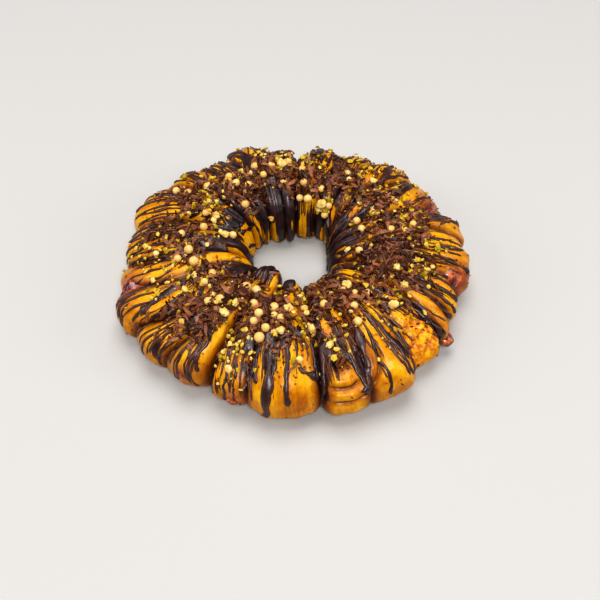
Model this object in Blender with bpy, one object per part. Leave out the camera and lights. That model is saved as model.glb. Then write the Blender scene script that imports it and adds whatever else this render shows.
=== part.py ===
"""Plum marzipan kringle: a baked ring of twisted dough with plum filling, chocolate and toppings.

The hole is a little behind the middle of the ring, so the dough is wider at the front (-Y) than at the
back. An angle runs round the hole from +X, and "around" runs round the dough itself: 0 is its outer side,
a quarter turn is its crest and half a turn is the wall of the hole.
"""

import math
import random

import bmesh
import bpy
from mathutils import Matrix, Vector, noise
from mathutils.bvhtree import BVHTree

MM = 0.001

# Ring of dough
HOLE_CENTRE = Vector((-0.9 * MM, 16.0 * MM, 0.0))
WIDEST_OUTSIDE = 15.0 * MM
WIDEST_IN_HOLE = 7.0 * MM
FULLNESS = 0.85
UNDERCURL = 1.35
LOBE_FULLNESS = 2.5
CREST_CREASE = 0.75
THROAT_CREASE = 0.55
CREST_SHIFT = 3.0 * MM
UNEVENNESS = 1.6 * MM
UNEVEN_SCALE = 0.022
SWEEP_MIDDLE = 208.0
SWEEP_HALF_WIDTH = 45.0
SWEEP = 15.0
COLUMN_WIDTH = 3.0
ROWS_OVER_DOUGH = 16

# One row for each twist of the dough: the angle in degrees of the crease where it begins, then in mm how far
# out it reaches, how high its crest is, the radius of its wall in the hole, and how deep that crease is
TWISTS = (
    (3, 126, 47, 24, 4),
    (15, 117, 48, 26, 8),
    (35, 115, 49, 31, 6),
    (51, 108, 49, 32, 6),
    (65, 102, 50, 30, 7),
    (89, 101, 48, 26, 10),
    (104, 112, 50, 27, 3),
    (123, 106, 49, 31, 8),
    (137, 114, 50, 32, 2),
    (150, 124, 49, 32, 8),
    (172, 122, 48, 31, 7),
    (188, 127, 46, 31, 5),
    (197, 135, 49, 31, 5),
    (213, 133, 47, 31, 7),
    (228, 132, 48, 32, 5),
    (243, 131, 46, 33, 9),
    (256, 137, 50, 35, 5),
    (278, 138, 49, 34, 10),
    (292, 137, 50, 33, 2),
    (309, 129, 46, 31, 6),
    (322, 127, 47, 29, 3),
    (329, 124, 49, 26, 3),
    (342, 126, 48, 24, 6),
)

# Rounded ends of dough at the near rim of the hole: angle and around, radius and height in mm
KNOBS = (
    (241, 146, 11, 10),
    (267, 138, 6, 4),
)

# The tucked end of the roll at the front: a hollow, and the edges of two rolled layers below it.
# A layer's edge has its distance from the hollow in mm and the directions between which it runs, 90 being down.
ROLL_ANGLE = 284.5
ROLL_AROUND = 48.0
ROLL_HOLLOW = 5.0 * MM
ROLL_HOLLOW_DEPTH = 4.0 * MM
ROLL_LAYERS = (
    (15.5, 42, 138),
    (26.0, -25, 122),
)
ROLL_GROOVE_WIDTH = 1.9 * MM
ROLL_GROOVE_DEPTH = 3.0 * MM
ROLL_FADE = 18.0
ROLL_RADIUS = 29.0 * MM
ROLL_CUTS = 3
KNOB_CUTS = 2

# The torn, flaky opening beside it
TORN_START = 308.0
TORN_END = 323.0
TORN_TOP = 62.0
TORN_FOOT = -5.0
TORN_LEDGES = 4
TORN_LEDGE = 4.0 * MM
TORN_DEPTH = 3.0 * MM
TORN_LEAN = 0.8
TORN_EDGE = 0.2

# Plum filling: a ring inside the dough
FILLING_HEIGHT = 21.0 * MM
FILLING_RADIUS = 82.0 * MM
FILLING_FORWARD = 10.0 * MM
FILLING_HALF_WIDTH = 13.0 * MM
FILLING_HALF_HEIGHT = 7.0 * MM
FILLING_UNEVENNESS = 1.2 * MM
FILLING_UNEVEN_SCALE = 0.012
FILLING_STEPS = 30
FILLING_CORNERS = (
    (1, -0.6), (1, 0.6), (0.6, 1), (-0.6, 1), (-1, 0.6), (-1, -0.6), (-0.6, -1), (0.6, -1),
)
GAP = 0.45 * MM

# Fingers of plum that come out where a seam has opened: the angle and around of each tip, its half width and
# half height in mm, and how far in mm it stands out of the crust
LUMPS = (
    (344.5, 22, 7.5, 10.0, 0.5),
    (17.0, 29, 10.0, 8.0, 0.5),
    (198.5, 19, 10.0, 9.5, 0.5),
    (325.5, -14, 7.0, 6.0, 6.0),
    (252.0, -6, 6.0, 6.0, 2.5),
    (235.0, 6, 7.0, 5.0, 0.5),
)
LUMP_CORNERS = 10
LUMP_LOFT = ((0.0, 0.8), (0.7, 1.0), (0.9, 0.85), (0.98, 0.5))
LUMP_CLEARANCE = 2.0 * MM

# Sugar pearls: groups, each with its angle and around and the number in it
PEARL_SEED = 11
PEARL_SIZES = (4.6 * MM, 6.6 * MM)
PEARL_RISE = 0.3
PEARL_SPREAD = 4.0
TRIES = 12
PEARL_GROUPS = (
    (238, 111, 3), (219, 95, 2), (250, 88, 5), (262, 94, 6), (257, 70, 3), (278, 82, 2), (288, 98, 2),
    (304, 94, 4), (296, 76, 2), (318, 70, 2), (330, 90, 3), (345, 105, 2), (2, 84, 6), (14, 112, 4),
    (30, 95, 2), (40, 86, 3), (53, 92, 3), (55, 145, 2), (70, 118, 3), (80, 136, 2), (84, 100, 3),
    (101, 99, 4), (117, 94, 5), (133, 96, 5), (144, 112, 3), (153, 65, 4), (168, 102, 3), (178, 84, 3),
    (191, 84, 5), (205, 94, 4), (216, 84, 4),
)

# Chocolate shavings heaped along the crest
SHAVING_SEED = 23
SHAVINGS = 56
SHAVING_AROUND = 96.0
SHAVING_SPREAD = 15.0
SHAVING_LENGTHS = (7.0 * MM, 12.0 * MM)
SHAVING_WIDTHS = (2.0 * MM, 3.2 * MM)
SHAVING_THICKNESS = 1.1 * MM
SHAVING_CURL = 0.12
SHAVING_NARROWING = 0.7
SHAVING_TILT = 0.25

# Chopped pistachio, and paler clumps of chopped almond
NUT_SEED = 31
NUTS = 40
NUT_AROUND = 78.0
NUT_SPREAD = 24.0
NUT_SIZES = (2.8 * MM, 4.4 * MM)
NUT_KNOCKED = (0.75, 1.1)
NUT_FLATNESS = 0.8
NUT_RISE = 0.2
NUT_CLUMP_SIZE = 7.5 * MM
NUT_CLUMPS = ((57, 137), (300, 112), (267, 100), (147, 78), (214, 90))

# Thick runs of chocolate: the angle of each, the arounds where it begins and ends, and its width in mm
DRIP_STEP = 15.0
DRIP_WANDER = 0.8
DRIP_THICKNESS = 2.0 * MM
DRIP_START = 0.7
DRIP_END = 0.45
DRIP_BEVEL = 0.6
DRIP_SUNK = 1.2 * MM
DRIPS = (
    (261, 72, -8, 6.0), (267.5, 66, 14, 3.5), (255, 44, 12, 6.5), (278.5, 72, 0, 5.0), (291.5, 64, 18, 6.5),
    (296.5, 52, -2, 3.5), (303, 64, 6, 4.0), (324, 64, 6, 5.0), (238, 50, 16, 3.0), (219, 62, 6, 4.0),
    (205, 62, 8, 3.5), (333, 75, 10, 3.5), (3, 60, 10, 4.0), (40, 66, 10, 4.0), (75, 70, 0, 4.5),
    (100, 74, 8, 4.0), (128, 72, 5, 4.0), (162, 66, 22, 4.0), (178, 62, 8, 3.5), (113, 104, 165, 6.0),
    (95, 106, 172, 5.0), (62, 104, 170, 6.0), (38, 104, 165, 6.0), (8, 106, 160, 6.0),
)

SEAT_REACH = 12.0 * MM
KEPT_TRIANGLES = 0.64
SHARP_ANGLE = 50.0


def twist_under(angle):
    """The number of the twist under an angle, and how far across it the angle lies, from 0 to 1."""
    turned = (angle - TWISTS[0][0]) % 360.0 + TWISTS[0][0]
    number = max(k for k, row in enumerate(TWISTS) if row[0] <= turned)
    start = TWISTS[number][0]
    end = TWISTS[number + 1][0] if number + 1 < len(TWISTS) else TWISTS[0][0] + 360.0
    return number, (turned - start) / (end - start)


def creased(column, share, number, across):
    """A size of the twists, rounded over each of them and dented by share of the crease between two."""
    here = TWISTS[number][column]
    before = TWISTS[number - 1]
    after = TWISTS[(number + 1) % len(TWISTS)]
    left = (before[column] + here) / 2 - share * TWISTS[number][4]
    right = (here + after[column]) / 2 - share * after[4]
    low = left + (right - left) * across
    swell = 1.0 - abs(2.0 * across - 1.0) ** LOBE_FULLNESS
    return (low + (here - low) * swell) * MM


def swept(angle, around):
    """The angle to which a twist has turned at around: at the left the creases lean as they climb."""
    apart = (angle - SWEEP_MIDDLE + 180.0) % 360.0 - 180.0
    if abs(apart) >= SWEEP_HALF_WIDTH:
        return angle
    climbed = math.sin(math.radians(min(max(around, 0.0), 90.0))) ** 2
    return angle + SWEEP * climbed * math.cos(math.radians(90.0 * apart / SWEEP_HALF_WIDTH)) ** 2


def plain_point(angle, around):
    """The point of the twisted ring at an angle and around, and the way out of the dough there."""
    number, across = twist_under(angle)
    reach = creased(1, 1.0, number, across)
    crest = creased(2, CREST_CREASE, number, across)
    throat = creased(3, -THROAT_CREASE, number, across)
    out = math.cos(math.radians(around))
    up = math.sin(math.radians(around))
    radius = (reach + throat) / 2 + out * (reach - throat) / 2 - CREST_SHIFT * max(up, 0.0) ** 2
    widest = (WIDEST_OUTSIDE + WIDEST_IN_HOLE) / 2 + out * (WIDEST_OUTSIDE - WIDEST_IN_HOLE) / 2
    if up < 0.0:
        height = widest * (1.0 + UNDERCURL * up)
    else:
        height = widest + (crest - widest) * up**FULLNESS
    turn = math.radians(swept(angle, around))
    point = HOLE_CENTRE + Vector((radius * math.cos(turn), radius * math.sin(turn), height))
    outward = Vector((math.cos(turn) * out, math.sin(turn) * out, max(up, 0.0)))
    return point, outward


def knob_height(point):
    """How far the rounded ends of dough at the rim of the hole raise the crust at a point."""
    raised = 0.0
    for angle, around, radius, proud in KNOBS:
        middle, _ = plain_point(angle, around)
        apart = (point - middle).length / (radius * MM)
        raised += proud * MM * math.sqrt(max(0.0, 1.0 - apart * apart))
    return raised


def roll_end_height(point):
    """The tucked end of the roll at the front: a hollow, and grooves below it where its layers end."""
    middle, _ = plain_point(ROLL_ANGLE, ROLL_AROUND)
    offset = point - middle
    apart = offset.length
    if apart > ROLL_RADIUS:
        return 0.0
    turn = math.radians(ROLL_ANGLE)
    along = offset.dot(Vector((-math.sin(turn), math.cos(turn), 0.0)))
    across = math.sqrt(max(0.0, apart * apart - along * along))
    direction = math.degrees(math.atan2(math.copysign(across, -offset.z), along))
    groove = 0.0
    for radius, first, last in ROLL_LAYERS:
        inside = min(1.0, max(0.0, min(direction - first, last - direction) / ROLL_FADE))
        groove += inside * math.exp(-(((apart - radius * MM) / ROLL_GROOVE_WIDTH) ** 2))
    return -ROLL_GROOVE_DEPTH * groove - ROLL_HOLLOW_DEPTH * math.exp(-((apart / ROLL_HOLLOW) ** 2))


def torn_height(angle, around):
    """Flaky ledges where the dough has torn open at the right of the roll end."""
    across = (angle - TORN_START) / (TORN_END - TORN_START)
    down = (TORN_TOP - around) / (TORN_TOP - TORN_FOOT)
    if not (0.0 < across < 1.0 and 0.0 < down < 1.0):
        return 0.0
    edge = min(1.0, min(across, 1.0 - across, down, 1.0 - down) / TORN_EDGE)
    step = (down * TORN_LEDGES + TORN_LEAN * across) % 1.0
    return -edge * (TORN_DEPTH + TORN_LEDGE * (0.5 - step))


def folded_point(angle, around):
    """The point of the uneven, torn ring at an angle and around, and the way out of the dough."""
    point, outward = plain_point(angle, around)
    point += outward * (torn_height(angle, around) + UNEVENNESS * noise.noise(point / UNEVEN_SCALE))
    point.z = max(point.z, 0.0)
    return point, outward


def crust_point(angle, around):
    """The point of the finished crust at an angle and around."""
    point, outward = folded_point(angle, around)
    return point + outward * (knob_height(point) + roll_end_height(point))


def crust_mesh():
    """The ring of dough, with finer faces where the knobs and the end of the roll are."""
    mesh = ring_mesh("crust", crust_columns(), crust_rows(), lambda *spot: folded_point(*spot)[0])
    shell = bmesh.new()
    shell.from_mesh(mesh)
    places = [(angle, around, radius * MM, KNOB_CUTS) for angle, around, radius, _ in KNOBS]
    places.append((ROLL_ANGLE, ROLL_AROUND, ROLL_RADIUS, ROLL_CUTS))
    for angle, around, radius, cuts in places:
        middle, _ = plain_point(angle, around)
        near = [e for e in shell.edges if min((end.co - middle).length for end in e.verts) < radius]
        bmesh.ops.subdivide_edges(shell, edges=near, cuts=cuts, use_grid_fill=True)
    bmesh.ops.triangulate(shell, faces=shell.faces)
    shell.normal_update()
    raised = [(vertex, knob_height(vertex.co) + roll_end_height(vertex.co)) for vertex in shell.verts]
    for vertex, height in raised:
        vertex.co += vertex.normal * height
    shell.to_mesh(mesh)
    shell.free()
    return mesh


def ring_mesh(name, columns, rows, point_at):
    """A closed ring whose points come from point_at(column, row)."""
    shell = bmesh.new()
    grid = [[shell.verts.new(point_at(column, row)) for row in rows] for column in columns]
    for i, this in enumerate(grid):
        other = grid[(i + 1) % len(grid)]
        for j in range(len(rows)):
            k = (j + 1) % len(rows)
            shell.faces.new((this[j], other[j], other[k], this[k]))
    bmesh.ops.triangulate(shell, faces=shell.faces, quad_method="FIXED")
    bmesh.ops.recalc_face_normals(shell, faces=shell.faces)
    mesh = bpy.data.meshes.new(name)
    shell.to_mesh(mesh)
    shell.free()
    return mesh


def crust_columns():
    """Angles in degrees, closer than the twists are wide, with one in every crease."""
    angles = []
    for number, row in enumerate(TWISTS):
        end = TWISTS[number + 1][0] if number + 1 < len(TWISTS) else TWISTS[0][0] + 360.0
        steps = max(3, round((end - row[0]) / COLUMN_WIDTH))
        angles += [row[0] + (end - row[0]) * step / steps for step in range(steps)]
    return angles


def crust_rows():
    """Values of around, from the outer foot over the crest to the inner foot, and one under the dough."""
    foot = math.degrees(math.asin(1.0 / UNDERCURL))
    span = 180.0 + 2 * foot
    return [-foot + span * step / ROWS_OVER_DOUGH for step in range(ROWS_OVER_DOUGH + 1)] + [270.0]


def uneven(point):
    return Vector((0, 0, FILLING_UNEVENNESS * noise.noise(point / FILLING_UNEVEN_SCALE)))


def filling_middle(angle):
    """The middle of the plum's section at an angle in degrees."""
    turn = math.radians(angle)
    radius = FILLING_RADIUS - FILLING_FORWARD * math.sin(turn)
    return HOLE_CENTRE + Vector((radius * math.cos(turn), radius * math.sin(turn), FILLING_HEIGHT))


def filling_point(angle, corner, room):
    """The point of the ring of plum at an angle in degrees and one of the corners of its section."""
    turn = math.radians(angle)
    outward = Vector((math.cos(turn), math.sin(turn), 0.0))
    out, up = FILLING_CORNERS[corner]
    middle = filling_middle(angle)
    point = middle + outward * out * FILLING_HALF_WIDTH + Vector((0, 0, up * FILLING_HALF_HEIGHT))
    return point + uneven(point) + outward * out * room + Vector((0, 0, up * room))


def make_finger(lump, room):
    """A finger of plum from the middle of the ring of plum to its rounded tip."""
    angle, around, half_width, half_height, proud = lump
    root = filling_middle(angle)
    tip, outward = plain_point(angle, around)
    tip += outward.normalized() * proud * MM
    onward = (tip - root).normalized()
    sideways = onward.cross(Vector((0, 0, 1))).normalized()
    upward = sideways.cross(onward)
    shell = bmesh.new()
    rings = []
    for along, full in LUMP_LOFT:
        ring = []
        for corner in range(LUMP_CORNERS):
            turn = math.tau * corner / LUMP_CORNERS
            spoke = sideways * math.cos(turn) * half_width + upward * math.sin(turn) * half_height
            point = root + (tip - root) * along + spoke * full * MM
            point += uneven(point) + spoke.normalized() * room + onward * along * room
            ring.append(shell.verts.new(point))
        rings.append(ring)
    for first, second in zip(rings, rings[1:]):
        for k in range(LUMP_CORNERS):
            other = (k + 1) % LUMP_CORNERS
            shell.faces.new((first[k], first[other], second[other], second[k]))
    end = shell.verts.new(tip + uneven(tip) + onward * room)
    for k in range(LUMP_CORNERS):
        shell.faces.new((rings[-1][k], rings[-1][(k + 1) % LUMP_CORNERS], end))
    shell.faces.new(rings[0])
    bmesh.ops.triangulate(shell, faces=shell.faces, quad_method="FIXED")
    return solid_of("finger", shell)


def make_plum(name, room):
    """The ring of plum with its fingers, larger by room on every side."""
    angles = [360.0 * step / FILLING_STEPS for step in range(FILLING_STEPS)]
    corners = range(len(FILLING_CORNERS))
    mesh = ring_mesh(name, angles, corners, lambda angle, corner: filling_point(angle, corner, room))
    plum = add_piece(name, mesh)
    fuse(plum, [make_finger(lump, room) for lump in LUMPS])
    return plum


class Crust:
    """The meshed crust, for seating things on it."""

    def __init__(self, mesh):
        corners = [vertex.co.copy() for vertex in mesh.vertices]
        self.tree = BVHTree.FromPolygons(corners, [list(face.vertices) for face in mesh.polygons])

    def seat(self, angle, around):
        """The place on the crust at an angle and around, the way out of it, and the way on around."""
        point = crust_point(angle, around)
        onward = (crust_point(angle, around + 3.0) - crust_point(angle, around - 3.0)).normalized()
        sideways = crust_point(angle + 1.0, around) - crust_point(angle - 1.0, around)
        outward = sideways.cross(onward).normalized()
        if outward.dot(plain_point(angle, around)[1]) < 0.0:
            outward.negate()
        place, _, _, _ = self.tree.ray_cast(point + outward * SEAT_REACH, -outward)
        return (place or point), outward, onward


def near_filling(place):
    """Whether a place on the crust is too close to where the plum comes out."""
    for angle, around, half_width, half_height, _ in LUMPS:
        tip, _ = plain_point(angle, around)
        if (tip - place).length < max(half_width, half_height) * MM + LUMP_CLEARANCE:
            return True
    return False


def solid_of(name, shell):
    """An object in the scene made from a finished bmesh."""
    bmesh.ops.recalc_face_normals(shell, faces=shell.faces)
    mesh = bpy.data.meshes.new(name)
    shell.to_mesh(mesh)
    shell.free()
    return add_piece(name, mesh)


def standing_frame(place, outward, onward, spin):
    """The matrix that puts a piece modelled at the origin, +Z up, onto a place, spun about the way out."""
    forward = Matrix.Rotation(spin, 4, outward) @ onward
    sideways = outward.cross(forward)
    turned = Matrix((sideways, forward, outward)).transposed().to_4x4()
    return Matrix.Translation(place) @ turned


def make_pearl(frame, size):
    shell = bmesh.new()
    bmesh.ops.create_icosphere(shell, subdivisions=1, radius=size / 2)
    raised = Matrix.Translation((0, 0, size * PEARL_RISE))
    bmesh.ops.transform(shell, matrix=frame @ raised, verts=shell.verts)
    return solid_of("pearl", shell)


def make_nut(frame, size, draw):
    """A chopped nut: a block with its corners knocked about."""
    shell = bmesh.new()
    bmesh.ops.create_cube(shell, size=size)
    for corner in shell.verts:
        corner.co *= draw.uniform(*NUT_KNOCKED)
        corner.co.z *= NUT_FLATNESS
    raised = Matrix.Translation((0, 0, size * NUT_RISE))
    bmesh.ops.transform(shell, matrix=frame @ raised, verts=shell.verts)
    return solid_of("nut", shell)


def make_shaving(frame, length, width, tilt):
    """A curled flake: a thin strip bent in the middle, tilted out of the crust."""
    shell = bmesh.new()
    rings = []
    for share in (-0.5, 0.0, 0.5):
        lift = SHAVING_CURL * length * (1.0 - 4.0 * share * share)
        ring = []
        half = width / 2 if share == 0.0 else width / 2 * SHAVING_NARROWING
        for side, top in ((-half, 0), (half, 0), (half, SHAVING_THICKNESS), (-half, SHAVING_THICKNESS)):
            ring.append(shell.verts.new((side, share * length, lift + top)))
        rings.append(ring)
    for first, second in zip(rings, rings[1:]):
        for k in range(4):
            shell.faces.new((first[k], first[(k + 1) % 4], second[(k + 1) % 4], second[k]))
    shell.faces.new(rings[0])
    shell.faces.new(rings[-1])
    turned = frame @ Matrix.Rotation(tilt, 4, "X")
    bmesh.ops.transform(shell, matrix=turned, verts=shell.verts)
    return solid_of("shaving", shell)


def make_drip(crust, angle, top, foot, width):
    """A thick run of chocolate down the crust, with a rounded drop at its foot."""
    steps = max(3, round(abs(top - foot) / DRIP_STEP))
    shell = bmesh.new()
    rings = []
    for step in range(steps + 1):
        share = step / steps
        wander = DRIP_WANDER * math.sin(3.0 * share * math.pi + angle)
        place, outward, onward = crust.seat(angle + wander, top + (foot - top) * share)
        full = DRIP_END if step in (0, steps) else DRIP_START + (1.0 - DRIP_START) * share
        sideways = outward.cross(onward) * width * MM / 2 * full
        thick = outward * DRIP_THICKNESS * full
        sunk = outward * DRIP_SUNK
        ring = [
            place - sideways - sunk,
            place + sideways - sunk,
            place + sideways * DRIP_BEVEL + thick,
            place - sideways * DRIP_BEVEL + thick,
        ]
        rings.append([shell.verts.new(corner) for corner in ring])
    for first, second in zip(rings, rings[1:]):
        for k in range(4):
            shell.faces.new((first[k], first[(k + 1) % 4], second[(k + 1) % 4], second[k]))
    shell.faces.new(rings[0])
    shell.faces.new(rings[-1])
    return solid_of("drip", shell)


def make_pearls(crust):
    draw = random.Random(PEARL_SEED)
    pearls = []
    for angle, around, count in PEARL_GROUPS:
        for _ in range(count):
            size = draw.uniform(*PEARL_SIZES)
            for _ in range(TRIES):
                strayed = draw.gauss(0, PEARL_SPREAD)
                spot = crust.seat(angle + strayed, around + draw.gauss(0, 2 * PEARL_SPREAD))
                clear = all((spot[0] - other).length > PEARL_SIZES[1] for _, other in pearls)
                if clear and not near_filling(spot[0]):
                    pearls.append((make_pearl(standing_frame(*spot, 0.0), size), spot[0]))
                    break
    return pearls


def scattered(draw, count, middle, spread):
    """Angles and arounds strewn over the top of the ring, thickest at middle."""
    for number in range(count):
        angle = 360.0 * (number + draw.uniform(0.1, 0.9)) / count
        yield angle, draw.gauss(middle, spread)


def make_shavings(crust):
    draw = random.Random(SHAVING_SEED)
    shavings = []
    for angle, around in scattered(draw, SHAVINGS, SHAVING_AROUND, SHAVING_SPREAD):
        length = draw.uniform(*SHAVING_LENGTHS)
        width = draw.uniform(*SHAVING_WIDTHS)
        tilt = draw.gauss(0, SHAVING_TILT)
        spin = draw.uniform(0, math.tau)
        spot = crust.seat(angle, around)
        if not near_filling(spot[0]):
            shavings.append(make_shaving(standing_frame(*spot, spin), length, width, tilt))
    return shavings


def make_nuts(crust, pearls):
    draw = random.Random(NUT_SEED)
    nuts = []
    for angle, around in scattered(draw, NUTS, NUT_AROUND, NUT_SPREAD):
        size = draw.uniform(*NUT_SIZES)
        spin = draw.uniform(0, math.tau)
        spot = crust.seat(angle, around)
        apart = min((spot[0] - place).length for _, place in pearls)
        if apart > PEARL_SIZES[1] and not near_filling(spot[0]):
            nuts.append(make_nut(standing_frame(*spot, spin), size, draw))
    for angle, around in NUT_CLUMPS:
        nuts.append(make_nut(standing_frame(*crust.seat(angle, around), 0.0), NUT_CLUMP_SIZE, draw))
    return nuts


def make_toppings(crust):
    pearls = make_pearls(crust)
    drips = [make_drip(crust, *row) for row in DRIPS]
    return [pearl for pearl, _ in pearls] + make_shavings(crust) + make_nuts(crust, pearls) + drips


def cut_cavity(pastry):
    """The dough is hollow where the plum lies, with a narrow gap between the two."""
    cavity = make_plum("cavity", GAP)
    hollow = pastry.modifiers.new("hollow", "BOOLEAN")
    hollow.operation = "DIFFERENCE"
    hollow.solver = "EXACT"
    hollow.object = cavity
    bpy.context.view_layer.objects.active = pastry
    bpy.ops.object.modifier_apply(modifier=hollow.name)
    bpy.data.objects.remove(cavity)
    keep_largest(pastry.data)


def fuse(piece, others):
    """Joins other solids to a piece, and removes them."""
    joined = bpy.data.collections.new("joined")
    bpy.context.scene.collection.children.link(joined)
    for other in others:
        bpy.context.scene.collection.objects.unlink(other)
        joined.objects.link(other)
    union = piece.modifiers.new("join", "BOOLEAN")
    union.operation = "UNION"
    union.solver = "MANIFOLD"
    union.operand_type = "COLLECTION"
    union.collection = joined
    bpy.context.view_layer.objects.active = piece
    bpy.ops.object.modifier_apply(modifier=union.name)
    for other in list(joined.objects):
        bpy.data.objects.remove(other)
    bpy.data.collections.remove(joined)
    keep_largest(piece.data)


def thin_out(piece):
    """Merges the smallest faces, so that the toppings don't make the pastry too fine."""
    thinned = piece.modifiers.new("thin", "DECIMATE")
    thinned.ratio = KEPT_TRIANGLES
    bpy.context.view_layer.objects.active = piece
    bpy.ops.object.modifier_apply(modifier=thinned.name)


def keep_largest(mesh):
    """Drops loose scraps, and fills hollows that the joining has sealed."""
    shell = bmesh.new()
    shell.from_mesh(mesh)
    left = set(shell.faces)
    groups = []
    while left:
        group = set()
        front = [left.pop()]
        while front:
            face = front.pop()
            group.add(face)
            for edge in face.edges:
                for other in edge.link_faces:
                    if other in left:
                        left.remove(other)
                        front.append(other)
        groups.append(group)
    largest = max(groups, key=len)
    bmesh.ops.delete(shell, geom=[f for f in shell.faces if f not in largest], context="FACES")
    bmesh.ops.triangulate(shell, faces=shell.faces)
    shell.to_mesh(mesh)
    shell.free()


def clear_scene():
    for old in list(bpy.data.objects):
        bpy.data.objects.remove(old)


def plain_material(name, colour, roughness):
    material = bpy.data.materials.new(name)
    material.use_nodes = True
    shader = material.node_tree.nodes["Principled BSDF"]
    shader.inputs["Base Color"].default_value = (*colour, 1.0)
    shader.inputs["Roughness"].default_value = roughness
    return material


def add_piece(name, mesh):
    piece = bpy.data.objects.new(name, mesh)
    bpy.context.scene.collection.objects.link(piece)
    return piece


def build():
    clear_scene()
    pastry = add_piece("pastry", crust_mesh())
    fuse(pastry, make_toppings(Crust(pastry.data)))
    thin_out(pastry)
    cut_cavity(pastry)
    filling = make_plum("plum_filling", 0.0)
    pastry.data.materials.append(plain_material("golden crust", (0.62, 0.27, 0.04), 0.3))
    filling.data.materials.append(plain_material("plum filling", (0.2, 0.03, 0.06), 0.25))
    for piece in (pastry, filling):
        piece.data.shade_smooth()
        piece.data.set_sharp_from_angle(angle=math.radians(SHARP_ANGLE))


build()
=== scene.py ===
"""Looks of a plum marzipan kringle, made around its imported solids, which are the frame.

An angle runs round the hole in degrees from +X, and "around" runs round the dough in degrees: 0 is its
outer side, 90 its crest and 180 the wall of the hole.
"""

import math
import random

import bmesh
import bpy
import numpy as np
from mathutils import Matrix, Vector, noise


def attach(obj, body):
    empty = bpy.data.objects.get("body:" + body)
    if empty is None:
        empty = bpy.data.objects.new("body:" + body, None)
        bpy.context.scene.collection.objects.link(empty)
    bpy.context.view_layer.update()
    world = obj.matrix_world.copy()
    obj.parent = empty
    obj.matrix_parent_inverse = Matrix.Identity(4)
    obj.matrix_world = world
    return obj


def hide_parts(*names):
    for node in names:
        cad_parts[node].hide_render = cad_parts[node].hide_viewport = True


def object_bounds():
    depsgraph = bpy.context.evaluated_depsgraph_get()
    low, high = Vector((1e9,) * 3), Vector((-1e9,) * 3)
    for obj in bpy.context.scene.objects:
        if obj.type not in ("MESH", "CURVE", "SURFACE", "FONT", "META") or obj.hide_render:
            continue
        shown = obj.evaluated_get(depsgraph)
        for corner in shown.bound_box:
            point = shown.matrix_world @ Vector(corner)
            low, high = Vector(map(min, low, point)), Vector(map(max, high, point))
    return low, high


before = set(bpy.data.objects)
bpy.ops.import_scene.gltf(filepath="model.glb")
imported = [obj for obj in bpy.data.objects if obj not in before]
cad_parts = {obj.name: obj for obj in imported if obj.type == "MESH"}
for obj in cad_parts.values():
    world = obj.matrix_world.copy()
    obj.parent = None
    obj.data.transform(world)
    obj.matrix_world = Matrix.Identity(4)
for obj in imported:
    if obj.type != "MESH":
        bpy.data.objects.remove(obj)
cad_low, cad_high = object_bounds()
MM = 0.001


# Camera and studio: a pale floor and four soft lights, seen from above the front of the ring.
# The ceiling light and the front lamp do most of the work, and two weak lights fill in the sides.
HOLE = Vector((-0.9, 16.0, 0.0)) * MM
CAMERA_RISE = math.radians(50.53)
CAMERA_DISTANCE = 0.724
CAMERA_LENS = 60.0
CAMERA_AIM = HOLE + Vector((3.7, -27.2, 0.0)) * MM
FLOOR_SIZE = 12.0
FLOOR_COLOUR = (0.438, 0.426, 0.413)
SKY_COLOUR = (0.97, 0.985, 1.0)
SKY_STRENGTH = 0.18

camera_place = CAMERA_AIM + CAMERA_DISTANCE * Vector((0.0, -math.cos(CAMERA_RISE), math.sin(CAMERA_RISE)))
bpy.ops.object.camera_add(location=camera_place, rotation=(math.pi / 2 - CAMERA_RISE, 0.0, 0.0))
camera = bpy.context.object
camera.data.lens = CAMERA_LENS
camera.data.sensor_width = 36.0
bpy.context.scene.camera = camera

bpy.ops.mesh.primitive_plane_add(size=FLOOR_SIZE)
floor = bpy.context.object
floor.name = "table_top"
floor_finish = bpy.data.materials.new("pale table")
floor_finish.use_nodes = True
floor_shader = floor_finish.node_tree.nodes["Principled BSDF"]
floor_shader.inputs["Base Color"].default_value = (*FLOOR_COLOUR, 1.0)
floor_shader.inputs["Roughness"].default_value = 0.7
floor_shader.inputs["Specular IOR Level"].default_value = 0.2
floor.data.materials.append(floor_finish)

world = bpy.data.worlds.new("studio")
world.use_nodes = True
world.node_tree.nodes["Background"].inputs["Color"].default_value = (*SKY_COLOUR, 1.0)
world.node_tree.nodes["Background"].inputs["Strength"].default_value = SKY_STRENGTH
bpy.context.scene.world = world
bpy.context.scene.view_settings.view_transform = "Standard"
bpy.context.scene.view_settings.look = "High Contrast"

# name, place, size and power of each soft light; all are aimed at the ring
for light_name, light_place, light_size, light_power in (
    ("ceiling", (0.0, 0.6, 2.2), 1.6, 34.0),
    ("right wall", (1.3, -0.2, 0.75), 0.6, 4.5),
    ("left wall", (-1.3, -0.1, 0.85), 0.8, 5.5),
    ("front lamp", (0.15, -1.6, 2.1), 0.8, 39.0),
):
    bpy.ops.object.light_add(type="AREA", location=light_place)
    light = bpy.context.object
    light.name = light_name
    light.data.size = light_size
    light.data.energy = light_power
    light.rotation_euler = Vector(light_place).to_track_quat("Z", "Y").to_euler()


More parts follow.
